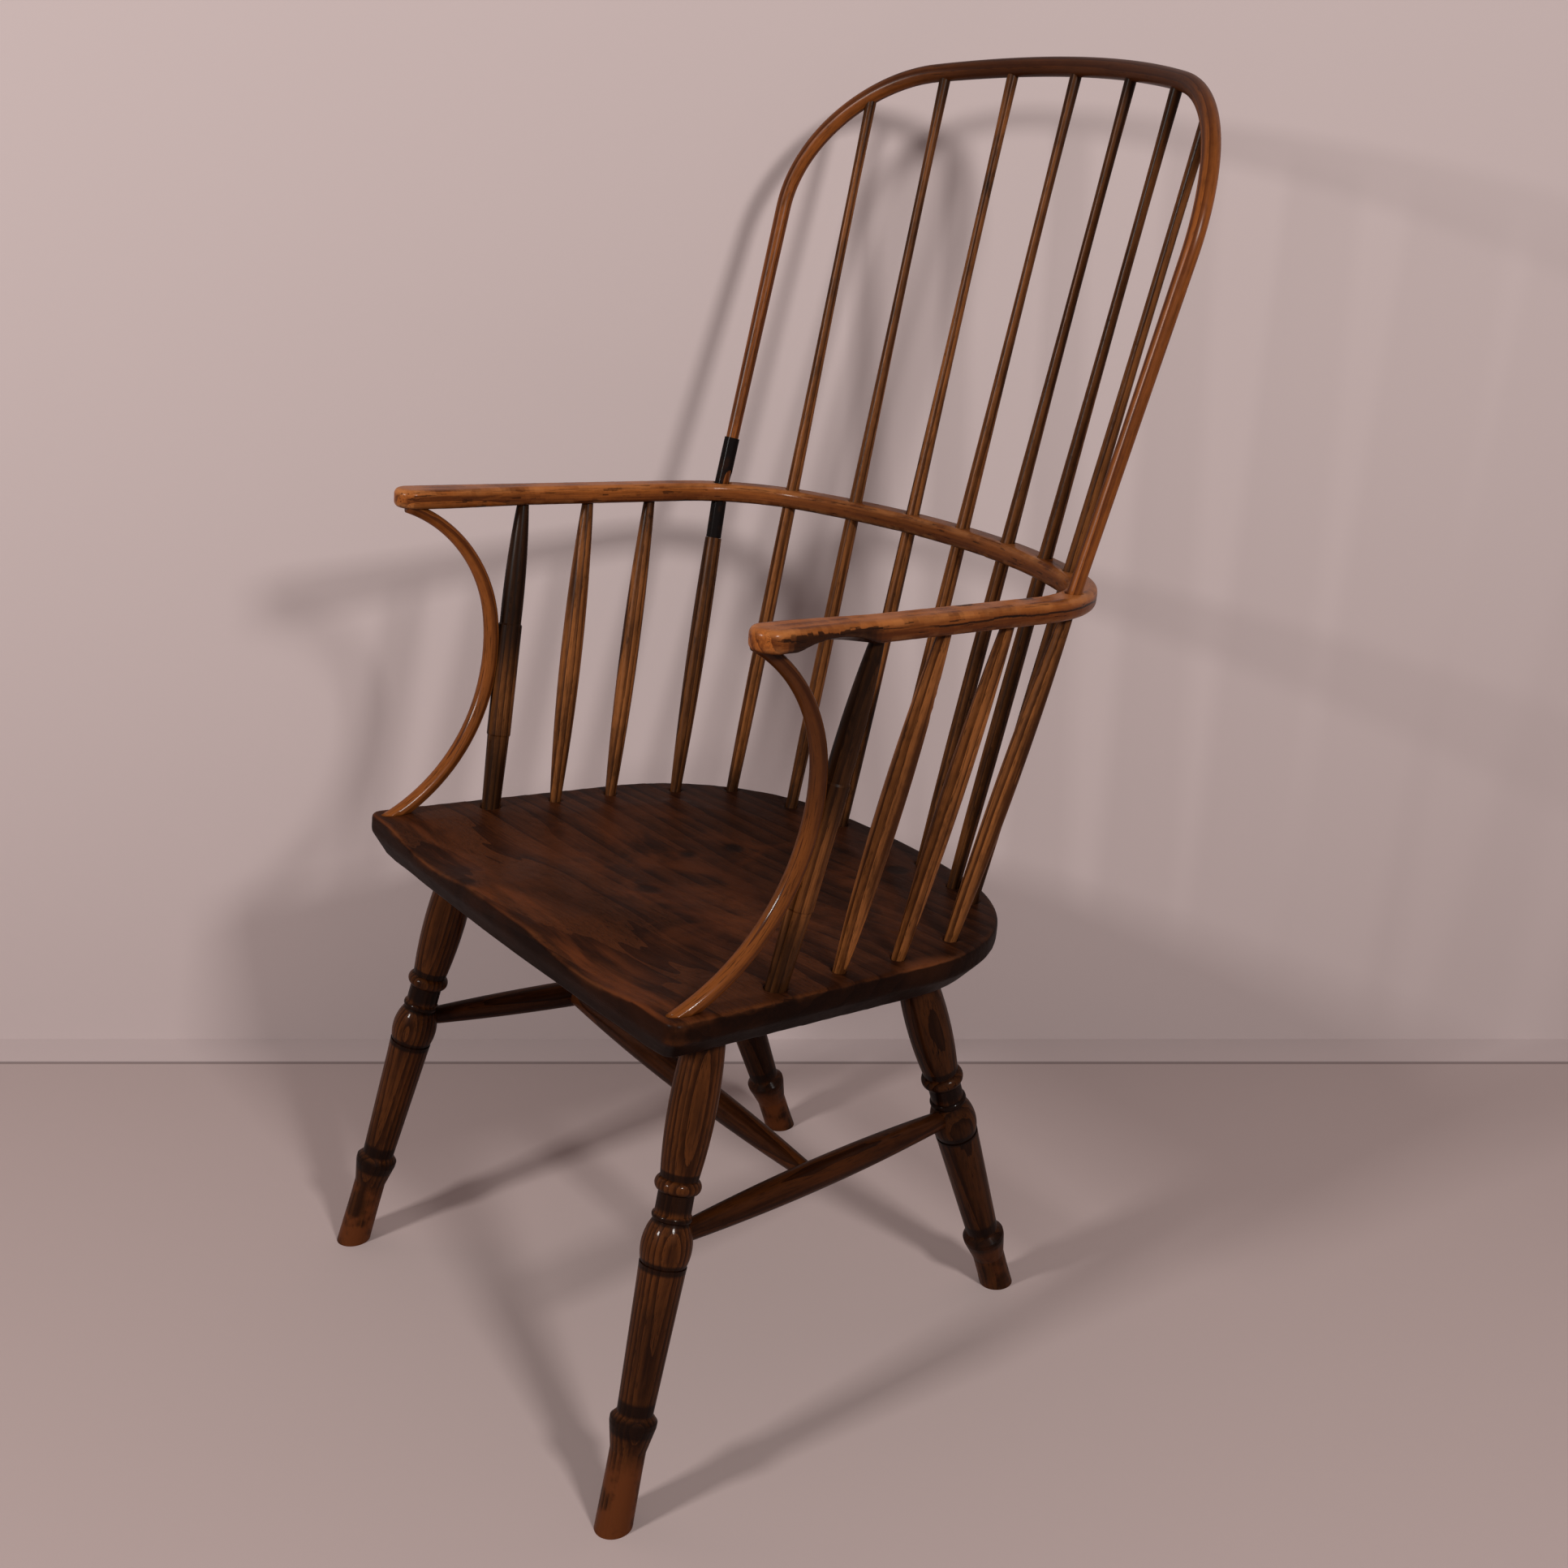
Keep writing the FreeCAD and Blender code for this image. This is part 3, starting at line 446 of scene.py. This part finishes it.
def bent_bar(name, line, girths, square, flush=None):
    """A bar with its middle on line, as thick as girths say.

    square is the direction that the ring starts from. flush is a plane to cut the bar at.
    """
    bar = bmesh.new()
    straight = bar.verts.layers.float_vector.new("straight")
    ring = bmesh.ops.create_circle(bar, segments=bar_sides, radius=1.0)["verts"]
    flat = [vertex.co.copy() for vertex in ring]
    gone = 0.0
    for index, (place, girth) in enumerate(zip(line, girths)):
        if index:
            gone += (place - line[index - 1]).length
            fresh = [bar.verts.new() for _ in ring]
            for n in range(bar_sides):
                bar.faces.new((ring[n - 1], ring[n], fresh[n], fresh[n - 1]))
            ring = fresh
        after, before = line[min(index + 1, len(line) - 1)], line[max(index - 1, 0)]
        ahead = (after - before).normalized()
        across = square.cross(ahead).normalized()
        upright = ahead.cross(across)
        for vertex, spot in zip(ring, flat):
            vertex.co = place + (across * spot.x + upright * spot.y) * girth / 2
            vertex[straight] = Vector((spot.x * girth / 2, spot.y * girth / 2, gone))
    if flush:
        whole = bar.verts[:] + bar.edges[:] + bar.faces[:]
        bmesh.ops.bisect_plane(
            bar, geom=whole, plane_co=flush[0], plane_no=flush[1], clear_inner=True
        )
    bmesh.ops.holes_fill(bar, edges=bar.edges, sides=0)
    bmesh.ops.recalc_face_normals(bar, faces=bar.faces)
    return placed(name, bar)


def placed(name, form):
    """Turns a finished form into an object that stands at the origin, smooth all over."""
    mesh = bpy.data.meshes.new(name)
    form.to_mesh(mesh)
    form.free()
    mesh.polygons.foreach_set("use_smooth", [True] * len(mesh.polygons))
    made = bpy.data.objects.new(name, mesh)
    bpy.context.scene.collection.objects.link(made)
    print(name, "has", len(mesh.polygons), "faces")
    return made


def between(stops, place):
    """Straight interpolation over (place, value) pairs."""
    return float(numpy.interp(place, [stop[0] for stop in stops], [stop[1] for stop in stops]))


print("every bent bar gets", bar_sides, "sides")

# %% [markdown]
# ## The back hoop
# The hoop rises from the arm bow, leans back, and bows rearwards at its crown. Seen square on,
# it is three arcs with a straight leg at each end. Walking those arcs with a pair of compasses
# in the flat gives its line, and leaning the flat shape back gives it its place. It is thickest
# over the crown and thins towards both feet, where it enters the arm bow and the iron sleeve.

# %% Bend the hoop
hoop_foot = Vector((0.24092, 0.11614, 0.66566))
hoop_lean = math.radians(20.4)
hoop_bow = 0.075
hoop_half_width = 0.25738
hoop_shoulder = (0.25717, 0.27349)
hoop_corner = (0.13738, 0.28061)
hoop_meeting = (0.15026, 0.39991)
hoop_crown = (0.0, -0.992)
hoop_start = (0.240936, 0.00031)
hoop_height = 0.408
hoop_top = (0.0, hoop_height)
# The hoop's diameter at each rise above the arm bow
hoop_girths = ((0.030, 0.0116), (0.27349, 0.0136), (0.39991, 0.0156), (hoop_height, 0.0166))


def arc(centre, first, last, count):
    """Places round a centre from one point to another, without the last."""
    begin = math.atan2(first[1] - centre[1], first[0] - centre[0])
    end = math.atan2(last[1] - centre[1], last[0] - centre[0])
    radius = math.dist(centre, first)
    angles = [begin + (end - begin) * n / count for n in range(count)]
    return [(centre[0] + radius * math.cos(a), centre[1] + radius * math.sin(a)) for a in angles]


def straight_run(first, last, count):
    return [tuple(f + (g - f) * n / count for f, g in zip(first, last)) for n in range(count)]


half_hoop = straight_run(hoop_start, hoop_shoulder, 26)
half_hoop += arc(hoop_corner, hoop_shoulder, hoop_meeting, 34)
half_hoop += arc(hoop_crown, hoop_meeting, hoop_top, 16)
flat_hoop = half_hoop + [hoop_top] + [(-x, rise) for x, rise in reversed(half_hoop)]
hoop_reach = sum(math.dist(first, last) for first, last in zip(flat_hoop, flat_hoop[1:]))


def hoop_place(x, rise):
    bow = hoop_bow * (hoop_foot.x**2 - x * x) / hoop_half_width**2
    up = rise * math.cos(hoop_lean)
    return Vector((x, hoop_foot.y + rise * math.sin(hoop_lean) + bow, hoop_foot.z + up))


hoop = bent_bar(
    "hoop_bar",
    [hoop_place(x, rise) for x, rise in flat_hoop],
    [between(hoop_girths, rise) for x, rise in flat_hoop],
    Vector((0.0, math.cos(hoop_lean), -math.sin(hoop_lean))),
)
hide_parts("back_hoop")
print("the hoop's bar is", round(hoop_reach, 3), "m long before it leans and bows")

# %% [markdown]
# ## The crooked arm supports
# Each crook springs from the seat's front corner, swings back, and curls forward again under the
# hand. Its side view is two arcs that meet upright at the back of the bend. The left one was bent
# over a larger former at the top than the right one, and the picture shows that difference.

# %% Bend the two crooks
crook_back = (-0.1307, 0.583)
crook_girths = ((0.0, 0.0134), (0.4, 0.0146), (1.0, 0.0102))
crook_sweep = (73.0, 66.0)
crook_lean = math.tan(math.radians(4.2))
crook_seat_x = 0.2365
crook_lower_radius = 0.176
crook_upper_radii = {"arm_crook_left": (1, 0.130), "arm_crook_right": (-1, 0.118)}
hand_gap = 0.002
arm_tilt = math.radians(5.8)
arm_front = Vector((0.0, -0.2072, 0.6985))
arm_normal = Vector((0.0, math.sin(arm_tilt), math.cos(arm_tilt)))
seat_tilt = math.radians(6.3)
seat_front_height = 0.4221
seat_front = Vector((0.0, -0.2617, seat_front_height))
seat_normal = Vector((0.0, math.sin(seat_tilt), math.cos(seat_tilt)))


def crook_line(side, upper_radius, stations=49):
    places = []
    for n in range(stations):
        degrees = sum(crook_sweep) * n / (stations - 1) - crook_sweep[0]
        radius = upper_radius if degrees > 0 else crook_lower_radius
        turn = math.radians(degrees)
        height = crook_back[1] + radius * math.sin(turn)
        x = crook_seat_x + (height - seat_front_height) * crook_lean
        places.append(Vector((side * x, crook_back[0] - radius * (1 - math.cos(turn)), height)))
    return places


crooks = []
for node, (side, upper_radius) in crook_upper_radii.items():
    line = crook_line(side, upper_radius)
    girths = [between(crook_girths, n / (len(line) - 1)) for n in range(len(line))]
    kept = [n for n, place in enumerate(line) if (place - arm_front).dot(arm_normal) < -hand_gap]
    crook = bent_bar(
        node + "_bar",
        [line[n] for n in kept],
        [girths[n] for n in kept],
        Vector((1.0, 0.0, 0.0)),
        (seat_front, seat_normal),
    )
    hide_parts(node)
    crooks.append(crook)

# %% [markdown]
# ## Bent wood's finish
# Steamed ash keeps a red-orange colour where hands and sleeves polish it, with brown fleck. The
# same wood recipe is used, but it reads the straight rod's coordinates from the attribute, so
# its stripes follow the hoop round. Small dents come from a cell pattern, and a knot can be put
# at a place along the bar. The hoop's crown, darkened as painted shade, and the upper end of the
# left crook are the darkest.


# %% Finish the hoop and the crooks
bow_dark = (0.009, 0.0031, 0.0016)
bow_middle = (0.088, 0.0220, 0.0052)
bow_light = (0.265, 0.0760, 0.0150)
crown_shade_colour = (0.020, 0.0052, 0.0018)
crook_end_colour = (0.018, 0.0052, 0.0022)
knot_squeeze = 0.6


def dents(finish, at, scale, share):
    """Small round marks, few and far apart."""
    values = {"Vector": at, "Scale": scale, "Randomness": 1.0}
    cells = finish.node("ShaderNodeTexVoronoi", {}, values)
    near = Amount(finish, cells.outputs["Distance"])
    draw = split(finish, cells.outputs["Color"])[0]
    return (1.0 - step(near, 0.10, 0.26)) * step(draw, 1.0 - share, 1.0 - share + 0.03)


def knot(finish, at, middle, width):
    """One dark knot or dent at a known place of the straight bar, a little longer than wide."""
    shift = (-middle[0], -middle[1], -knot_squeeze * middle[2])
    gap = length(finish, stretched(finish, at, (1.0, 1.0, knot_squeeze), shift))
    wobble = cloud(finish, at, 300.0) * 0.003 - 0.0015
    return 1.0 - step(gap + wobble, width * 0.6, width)


left_crook, right_crook = crooks
# Each bar with its tone and the haze of its wax
bar_looks = ((hoop, 0.80, 0.26), (left_crook, 0.60, 0.13), (right_crook, 0.74, 0.18))
for piece, tone, haze in bar_looks:
    finish = Finish(piece.name + "_wood")
    at = carried(finish, "straight")["Vector"]
    tones = (bow_dark, toned(bow_middle, tone), toned(bow_light, tone))
    colour, relief = wood(finish, at, tones, (0.021, 0.012, 0.0), rings=300.0, pores=0.6, dirt=0.5)
    marks = dents(finish, at, 42.0, 0.12)
    colour = mixed(finish, marks * 0.8, colour, bow_dark)
    # painted shade: the hoop's crown is darkened, as its top lies in shade
    if piece is hoop:
        from_crown = (split(finish, at)[2] - hoop_reach / 2).size()
        colour = mixed(finish, (1.0 - step(from_crown, 0.10, 0.30)) * 0.8, colour, crown_shade_colour)
    if piece is left_crook:
        upper_end = step(split(finish, at)[2], 0.13, 0.24)
        colour = mixed(finish, upper_end * 0.6, colour, crook_end_colour)
    piece.data.materials.append(polished(finish, colour, relief - marks * 0.8, 0.35, haze=haze))
    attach(piece, "root")
print("bent bars finished:", len(bar_looks))

# %% [markdown]
# ## Softening a sawn shape
# The seat and the arm bow have been sat on and leant on for two centuries, and no edge of them
# is crisp. A Bevel modifier needs clean edges, which the frame's triangles don't have. A voxel
# remesh builds the same shape again from small even faces, and a few rounds of smooth_vert
# then wear every edge down, most where it is sharpest, as hands do. How far ten more rounds would
# move each point is kept as an attribute: it is high along ridges, where polish wears through,
# and below nothing in hollows, where dirt stays.


# %% Remesh a piece and wear its edges
weld = 0.00002
let_in_reach = 0.012
let_in_rise = 0.0005
probe_rounds = 10


def wear_down(shape, rounds):
    for _ in range(rounds):
        bmesh.ops.smooth_vert(
            shape, verts=shape.verts, factor=0.5, use_axis_x=True, use_axis_y=True, use_axis_z=True
        )


def worn_copy(node, name, voxel, rounds, let_in=()):
    """A softened copy of a node. let_in: pieces whose ends lie flush in it, waxed over."""
    shape = bmesh.new()
    for member in let_in:
        shape.from_mesh(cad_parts[member].data)
    bmesh.ops.remove_doubles(shape, verts=shape.verts, dist=weld)
    if let_in:
        whole = shape.verts[:] + shape.edges[:] + shape.faces[:]
        low = seat_front - seat_normal * let_in_reach
        bmesh.ops.bisect_plane(
            shape, geom=whole, plane_co=low, plane_no=seat_normal, clear_inner=True
        )
        bmesh.ops.holes_fill(shape, edges=shape.edges, sides=0)
        bmesh.ops.translate(shape, verts=shape.verts, vec=seat_normal * let_in_rise)
    shape.from_mesh(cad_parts[node].data)
    bmesh.ops.remove_doubles(shape, verts=shape.verts, dist=weld)
    rough = placed(name + "_rough", shape)
    rebuild = rough.modifiers.new("rebuild", "REMESH")
    rebuild.mode = "VOXEL"
    rebuild.voxel_size = voxel
    bpy.context.view_layer.update()
    ready = rough.evaluated_get(bpy.context.evaluated_depsgraph_get())
    shape = bmesh.new()
    shape.from_mesh(bpy.data.meshes.new_from_object(ready))
    bpy.data.objects.remove(rough)
    edge_wear = shape.verts.layers.float.new("edge_wear")
    wear_down(shape, rounds)
    shape.normal_update()
    kept = [(vertex, vertex.co.copy(), vertex.normal.copy()) for vertex in shape.verts]
    wear_down(shape, probe_rounds)
    for vertex, place, outward in kept:
        vertex[edge_wear] = (place - vertex.co).dot(outward) / voxel
        vertex.co = place
    return shape


print("edge wear is read from", probe_rounds, "more rounds of smoothing")

# %% [markdown]
# ## The arm bow
# One flat strip runs from hand to hand round the back. Its grain follows the bend too, so each
# point of the worn copy looks up the nearest place on the bow's middle line, and keeps how far
# along, across and up it lies. Distances along the bow start at the left hand.

# %% Wear the arm bow and lay its grain
arm_shoulder = (0.25117, 0.28305)
arm_corner = (0.13533, 0.27698)
arm_meeting = (0.18289, 0.38277)
arm_crown = (0.0, -0.024)
arm_back = (0.0, 0.422)
arm_inside = (0.0, 0.16)
arm_turn = Matrix.Rotation(-arm_tilt, 3, "X")

half_bow = straight_run((0.266, -0.012), arm_shoulder, 60)
half_bow += arc(arm_corner, arm_shoulder, arm_meeting, 50)
half_bow += arc(arm_crown, arm_meeting, arm_back, 50)
bow_line = numpy.array(half_bow + [arm_back] + [(-x, y) for x, y in reversed(half_bow)])
bow_steps = numpy.linalg.norm(numpy.diff(bow_line, axis=0), axis=1)
bow_gone = numpy.append(0.0, numpy.cumsum(bow_steps))

bow_shape = worn_copy("arm_bow", "arm_bow", 0.0016, 1)
straight = bow_shape.verts.layers.float_vector.new("straight")
for vertex in bow_shape.verts:
    spot = arm_turn.transposed() @ (vertex.co - arm_front)
    away = numpy.hypot(bow_line[:, 0] - spot.x, bow_line[:, 1] - spot.y)
    nearest = int(away.argmin())
    from_inside = math.hypot(spot.x, spot.y - arm_inside[1])
    inside = from_inside < math.hypot(*(bow_line[nearest] - arm_inside))
    off_line = -away[nearest] if inside else away[nearest]
    vertex[straight] = Vector((off_line, spot.z, bow_gone[nearest]))
arm_bow = placed("arm_bow_worn", bow_shape)
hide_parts("arm_bow")

# %% [markdown]
# ## The arm bow's finish
# The top is rubbed orange, and paler wood shows through along the ridges. The underside is painted
# darker as shade, and under the left hand, where it is worn, a ragged band is darker still: painted
# shade together with dirt. Both edges are chipped, a long split runs along the left arm's outer
# edge, and two dark knots lie on its top. Far back the bow is duller.

# %% Finish the arm bow
rubbed_colour = (0.380, 0.128, 0.034)
back_colour = (0.040, 0.0120, 0.0045)
worn_through_colour = (0.520, 0.215, 0.070)

finish = Finish("arm_bow_wood")
at = carried(finish, "straight")["Vector"]
colour, relief = wood(
    finish, at, (bow_dark, toned(bow_middle, 1.0), toned(bow_light, 1.05)), (0.034, 0.018, 0.0),
    rings=240.0, waviness=3.0, pores=0.5, dirt=0.4,
)
across, up, along = split(finish, at)
rubbed = step(up, 0.002, 0.0075) * step(cloud(finish, at, 26.0, 4.0), 0.36, 0.62)
colour = mixed(finish, rubbed * 0.75, colour, rubbed_colour)
from_back = (along - bow_gone[-1] / 2).size()
colour = mixed(finish, (1.0 - step(from_back, 0.16, 0.36)) * 0.5, colour, back_colour)
ridge = Amount(finish, carried(finish, "edge_wear")["Fac"])
# painted shade: the underside of the bow is darkened
underside_shade = step(0.0 - up, 0.0045, 0.0085)
ragged = cloud(finish, at, 110.0, 3.0) * 0.014 - 0.0015
# a ragged dark band under the left hand: painted shade, and dirt in the worn scoop
hand_shade_and_dirt = step(along, 0.034, 0.050) * (1.0 - step(along, 0.115, 0.135))
hand_shade_and_dirt = hand_shade_and_dirt * step(ragged - up, 0.0, 0.0012)
marks = dents(finish, at, 34.0, 0.2)
torn = cloud(finish, stretched(finish, at, (260.0, 300.0, 34.0)), 1.0, 3.0)
split_edge = step(torn, 0.60, 0.68) * step(across.size(), 0.007, 0.012)
shake = cloud(finish, stretched(finish, at, (0.0, 0.0, 14.0)), 1.0, 3.0) * 0.012 - 0.0055
long_split = (1.0 - step((up - shake).size(), 0.0002, 0.0011)) * step(across, 0.009, 0.011)
long_split = long_split * step(along, 0.15, 0.19) * (1.0 - step(along, 0.40, 0.48))
grime = step(0.0 - ridge, 0.04, 0.2)
near_knot = knot(finish, at, (-0.0080, 0.0088, 0.222), 0.0062)
far_knot = knot(finish, at, (-0.0080, 0.0088, 0.287), 0.0050)
marks = (marks + (near_knot + far_knot)).at_most(1.0)
shade = underside_shade * 0.6 + hand_shade_and_dirt * 0.9 + marks * 0.85 + split_edge * 0.7
shade = (shade + long_split * 0.9 + grime * 0.6).at_most(0.94)
colour = mixed(finish, shade, colour, bow_dark)
polish_through = step(ridge, 0.10, 0.5) * step(cloud(finish, at, 60.0, 4.0), 0.4, 0.6)
polish_through = polish_through * (1.0 - shade)
colour = mixed(finish, polish_through * 0.55, colour, worn_through_colour)
hollows = marks * 1.2 + split_edge + long_split * 1.5
arm_bow.data.materials.append(polished(finish, colour, relief - hollows, 0.32, 0.0006, 0.2))
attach(arm_bow, "root")
print("the arm bow's band is", round(float(bow_gone[-1]), 3), "m long")

# %% [markdown]
# ## The saddle seat
# The seat is one thick elm board, hollowed for sitting. It goes through the same softening as
# the arm bow, with coarser voxels. The tops of the four legs are let into it first, so that one
# skin of wax covers board and leg and each round end shows only as a faint rise.

# %% Wear the seat
seat = placed("seat_worn", worn_copy("seat", "seat", 0.0023, 1, list(leg_tones_and_shade)))
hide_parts("seat")

# %% [markdown]
# ## The seat's finish
# The hollow and the front are rubbed red in patches and streaks. Old wax has gone almost black
# in every corner that a cloth can't reach. The faces that turn sideways are painted darker as
# shade, and the underside is darker too. The board's grain runs from side to side, so a Mapping
# node lays the wood's Z axis across the chair. Wear is drawn from places: the hollow, the front,
# the rim, and a spot of the left rim that has been leant on.

# %% Finish the seat
seat_dark = (0.0045, 0.0019, 0.0013)
seat_middle = (0.0200, 0.0056, 0.0022)
seat_light = (0.0600, 0.0172, 0.0055)
seat_red = (0.115, 0.0300, 0.0085)
rim_colour = (0.120, 0.0380, 0.0120)
leant_on_colour = (0.165, 0.0500, 0.0170)
front_line = -0.205
hollow_ahead = 0.04
underside = 0.402

finish = Finish("seat_wood")
at = turned(finish, seat_front, (-seat_tilt, math.radians(90.0), 0.0))
colour, relief = wood(
    finish, at, (seat_dark, seat_middle, seat_light), (0.09, -0.06, 0.2),
    rings=110.0, waviness=5.0, pores=0.6, dirt=0.5, gloss=0.36,
)
x, y, z = split(finish, finish.places)
front = step(front_line - y, 0.0, 0.045)
patches = cloud(finish, finish.places, 13.0, 5.0, 0.62, 0.6)
streaks = cloud(finish, stretched(finish, finish.places, (9.0, 60.0, 20.0)), 1.0, 4.0)
from_hollow = finish.sum("SQRT", x * x + (y + hollow_ahead) * (y + hollow_ahead))
hollow = 1.0 - step(from_hollow, 0.10, 0.24)
red = hollow * step(patches, 0.42, 0.66) * 0.6 + front * step(streaks, 0.45, 0.7) * 0.75
colour = mixed(finish, red.at_most(0.85), colour, seat_red)
underneath = step(underside - z, 0.0, 0.02) * step(y + 0.3, 0.02, 0.04)
ridge = Amount(finish, carried(finish, "edge_wear")["Fac"])
rim = step(ridge, 0.08, 0.5) * step(cloud(finish, finish.places, 30.0, 4.0), 0.42, 0.62)
colour = mixed(finish, rim * 0.42, colour, rim_colour)
from_left_rim = stretched(finish, finish.places, (1.0, 0.55, 1.0), (-0.246, 0.007, -0.396))
leant_on = 1.0 - step(length(finish, from_left_rim), 0.008, 0.024)
leant_on = leant_on * step(patches, 0.30, 0.50)
colour = mixed(finish, leant_on * 0.8, colour, leant_on_colour)
grime = step(0.0 - ridge, 0.05, 0.3)
marks = dents(finish, finish.places, 17.0, 0.16)
# painted shade: faces that turn sideways or down are darkened, less where the rim is rubbed
facing = split(finish, finish.node("ShaderNodeTexCoord").outputs["Normal"])[2]
side_shade = 1.0 - step(facing, 0.45, 0.85)
shade = marks * 0.7 + underneath * 0.5 + grime * 0.8 + side_shade * (0.85 - rim * 0.4)
colour = mixed(finish, shade.at_most(0.9), colour, seat_dark)
seat.data.materials.append(polished(finish, colour, relief - marks, 0.06, 0.0005, 0.3))
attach(seat, "root")
print("seat finished, grain laid across the chair")

# %% [markdown]
# ## The iron sleeve
# The right foot of the hoop broke long ago, and a smith's tube holds it to the arm bow. Plain
# black iron is never one black: it is brown with rust in the hollows and rubbed bare on high
# places. Two clouds, one fine and one broad, drive its colour, roughness and relief.

# %% Finish the sleeve
iron_colour = (0.006, 0.0042, 0.0040)
rust_colour = (0.020, 0.0085, 0.0050)

finish = Finish("old_iron")
broad = cloud(finish, finish.places, 90.0, 4.0)
fine = cloud(finish, finish.places, 900.0, 4.0, 0.7)
rust = step(broad, 0.5, 0.66)
colour = mixed(finish, rust * 0.7, iron_colour, rust_colour)
finish.feed(finish.surface.inputs["Roughness"], 0.48 + fine * 0.2 + rust * 0.15)
finish.feed(finish.surface.inputs["Metallic"], 0.12 - rust * 0.1)
give("hoop_sleeve", polished(finish, colour, fine * 0.6 + broad * 0.4, 0.05, 0.0003))
print("sleeve finished")

# %% [markdown]
# ## Wall, floor and lamps
# The chair stands on a pale floor close in front of a plain wall, both a warm grey. The wall
# hides itself from behind, so that the chair can be looked at from there.
# A thin dark line runs along the foot of the wall, a painted shadow. Past it the floor takes the
# wall's paint, so that no strip of floor shows behind the line, and far out the floor fades into
# the room.

# %% Paint the wall and the floor
wall_colour = (0.500, 0.415, 0.408)
floor_colour = (0.420, 0.335, 0.322)
seam_shadow_colour = (0.150, 0.115, 0.110)
room_colour = (0.42, 0.362, 0.354)
room_strength = 0.72
room_fill = 0.45
to_wall = Vector((-0.8117, 0.5842, 0.0))
seam_distance = 0.349
wall_distance = 0.404
wall_reach = 5.0
floor_radius = 3.2
floor_fade = (1.7, 3.1)


def stage_sheet(name, sheet, one_sided):
    made = placed(name, sheet)
    finish = Finish(name + "_paint")
    x, y, _ = split(finish, finish.places)
    past_seam = x * to_wall.x + y * to_wall.y - seam_distance
    colour = mixed(finish, step(past_seam, -0.001, 0.001), floor_colour, wall_colour)
    # painted shadow: a thin dark line on the floor along the foot of the wall
    seam_shadow = 1.0 - step(past_seam.size(), 0.0012, 0.0045)
    finish.feed(finish.surface.inputs["Base Color"], mixed(finish, seam_shadow * 0.7, colour, seam_shadow_colour))
    finish.surface.inputs["Roughness"].default_value = 0.85
    finish.surface.inputs["Specular IOR Level"].default_value = 0.15
    if one_sided:
        behind = finish.node("ShaderNodeNewGeometry").outputs["Backfacing"]
        shadow = finish.node("ShaderNodeLightPath").outputs["Is Shadow Ray"]
        change = finish.sum("MAXIMUM", behind, shadow)
        other = finish.node("ShaderNodeBsdfTransparent")
    else:
        change = step(finish.sum("SQRT", x * x + y * y), *floor_fade)
        glow = {"Color": room_colour, "Strength": room_strength}
        other = finish.node("ShaderNodeEmission", {}, glow)
    shaders = {0: change, 1: finish.surface.outputs[0], 2: other.outputs[0]}
    both = finish.node("ShaderNodeMixShader", {}, shaders)
    finish.feed(finish.tree.nodes["Material Output"].inputs["Surface"], both.outputs[0])
    made.data.materials.append(finish.material)
    return made


wall_sheet = bmesh.new()
bmesh.ops.create_grid(wall_sheet, x_segments=1, y_segments=1, size=wall_reach)
upright = to_wall.to_track_quat("-Z", "Y").to_matrix().to_4x4()
wall_middle = Matrix.Translation(to_wall * wall_distance + Vector((0.0, 0.0, wall_reach)))
bmesh.ops.transform(wall_sheet, verts=wall_sheet.verts, matrix=wall_middle @ upright)
wall = stage_sheet("wall", wall_sheet, True)

floor_sheet = bmesh.new()
bmesh.ops.create_circle(floor_sheet, cap_ends=True, segments=96, radius=floor_radius)
floor = stage_sheet("floor", floor_sheet, False)

# %% [markdown]
# ## The lamps and the room
# Two soft lamps, one to the left and one to the right of the camera, give every turned bead
# its pair of highlights and throw the two shadows on the wall. Dim light from all round fills
# the shadows. The camera and the wax see a brighter room than the one that lights the chair.

# %% Hang the lamps and light the room
lamp_size = 0.36
lamp_colour = (1.0, 0.975, 0.95)
lamp_target = Vector((0.0, 0.0, 0.6))

for lamp, place, watts in (
    ("lamp_left", Vector((0.13, -2.53, 1.81)), 45.5),
    ("lamp_right", Vector((2.50, -0.25, 2.04)), 53.0),
):
    light = bpy.data.lights.new(lamp, "AREA")
    light.energy = watts
    light.size = lamp_size
    light.color = lamp_colour
    made = bpy.data.objects.new(lamp, light)
    facing_chair = (place - lamp_target).to_track_quat("Z", "Y").to_matrix().to_4x4()
    made.matrix_world = Matrix.Translation(place) @ facing_chair
    bpy.context.scene.collection.objects.link(made)

world = bpy.data.worlds.new("room")
world.use_nodes = True
room = Nodes(world.node_tree)
seen = room.node("ShaderNodeLightPath").outputs
mirrored = room.sum("MAXIMUM", seen["Is Glossy Ray"], seen["Is Transmission Ray"])
shown = room.sum("MAXIMUM", seen["Is Camera Ray"], mirrored)
limits = {"Value": shown, "To Min": room_fill, "To Max": room_strength}
strength = room.node("ShaderNodeMapRange", {}, limits)
background = room.tree.nodes["Background"]
room.feed(background.inputs["Strength"], strength.outputs[0])
room.feed(background.inputs["Color"], room_colour)
bpy.context.scene.world = world
bpy.context.scene.view_settings.view_transform = "Standard"
print("stage:", wall.name, floor.name, "and", len(bpy.data.lights), "lamps")
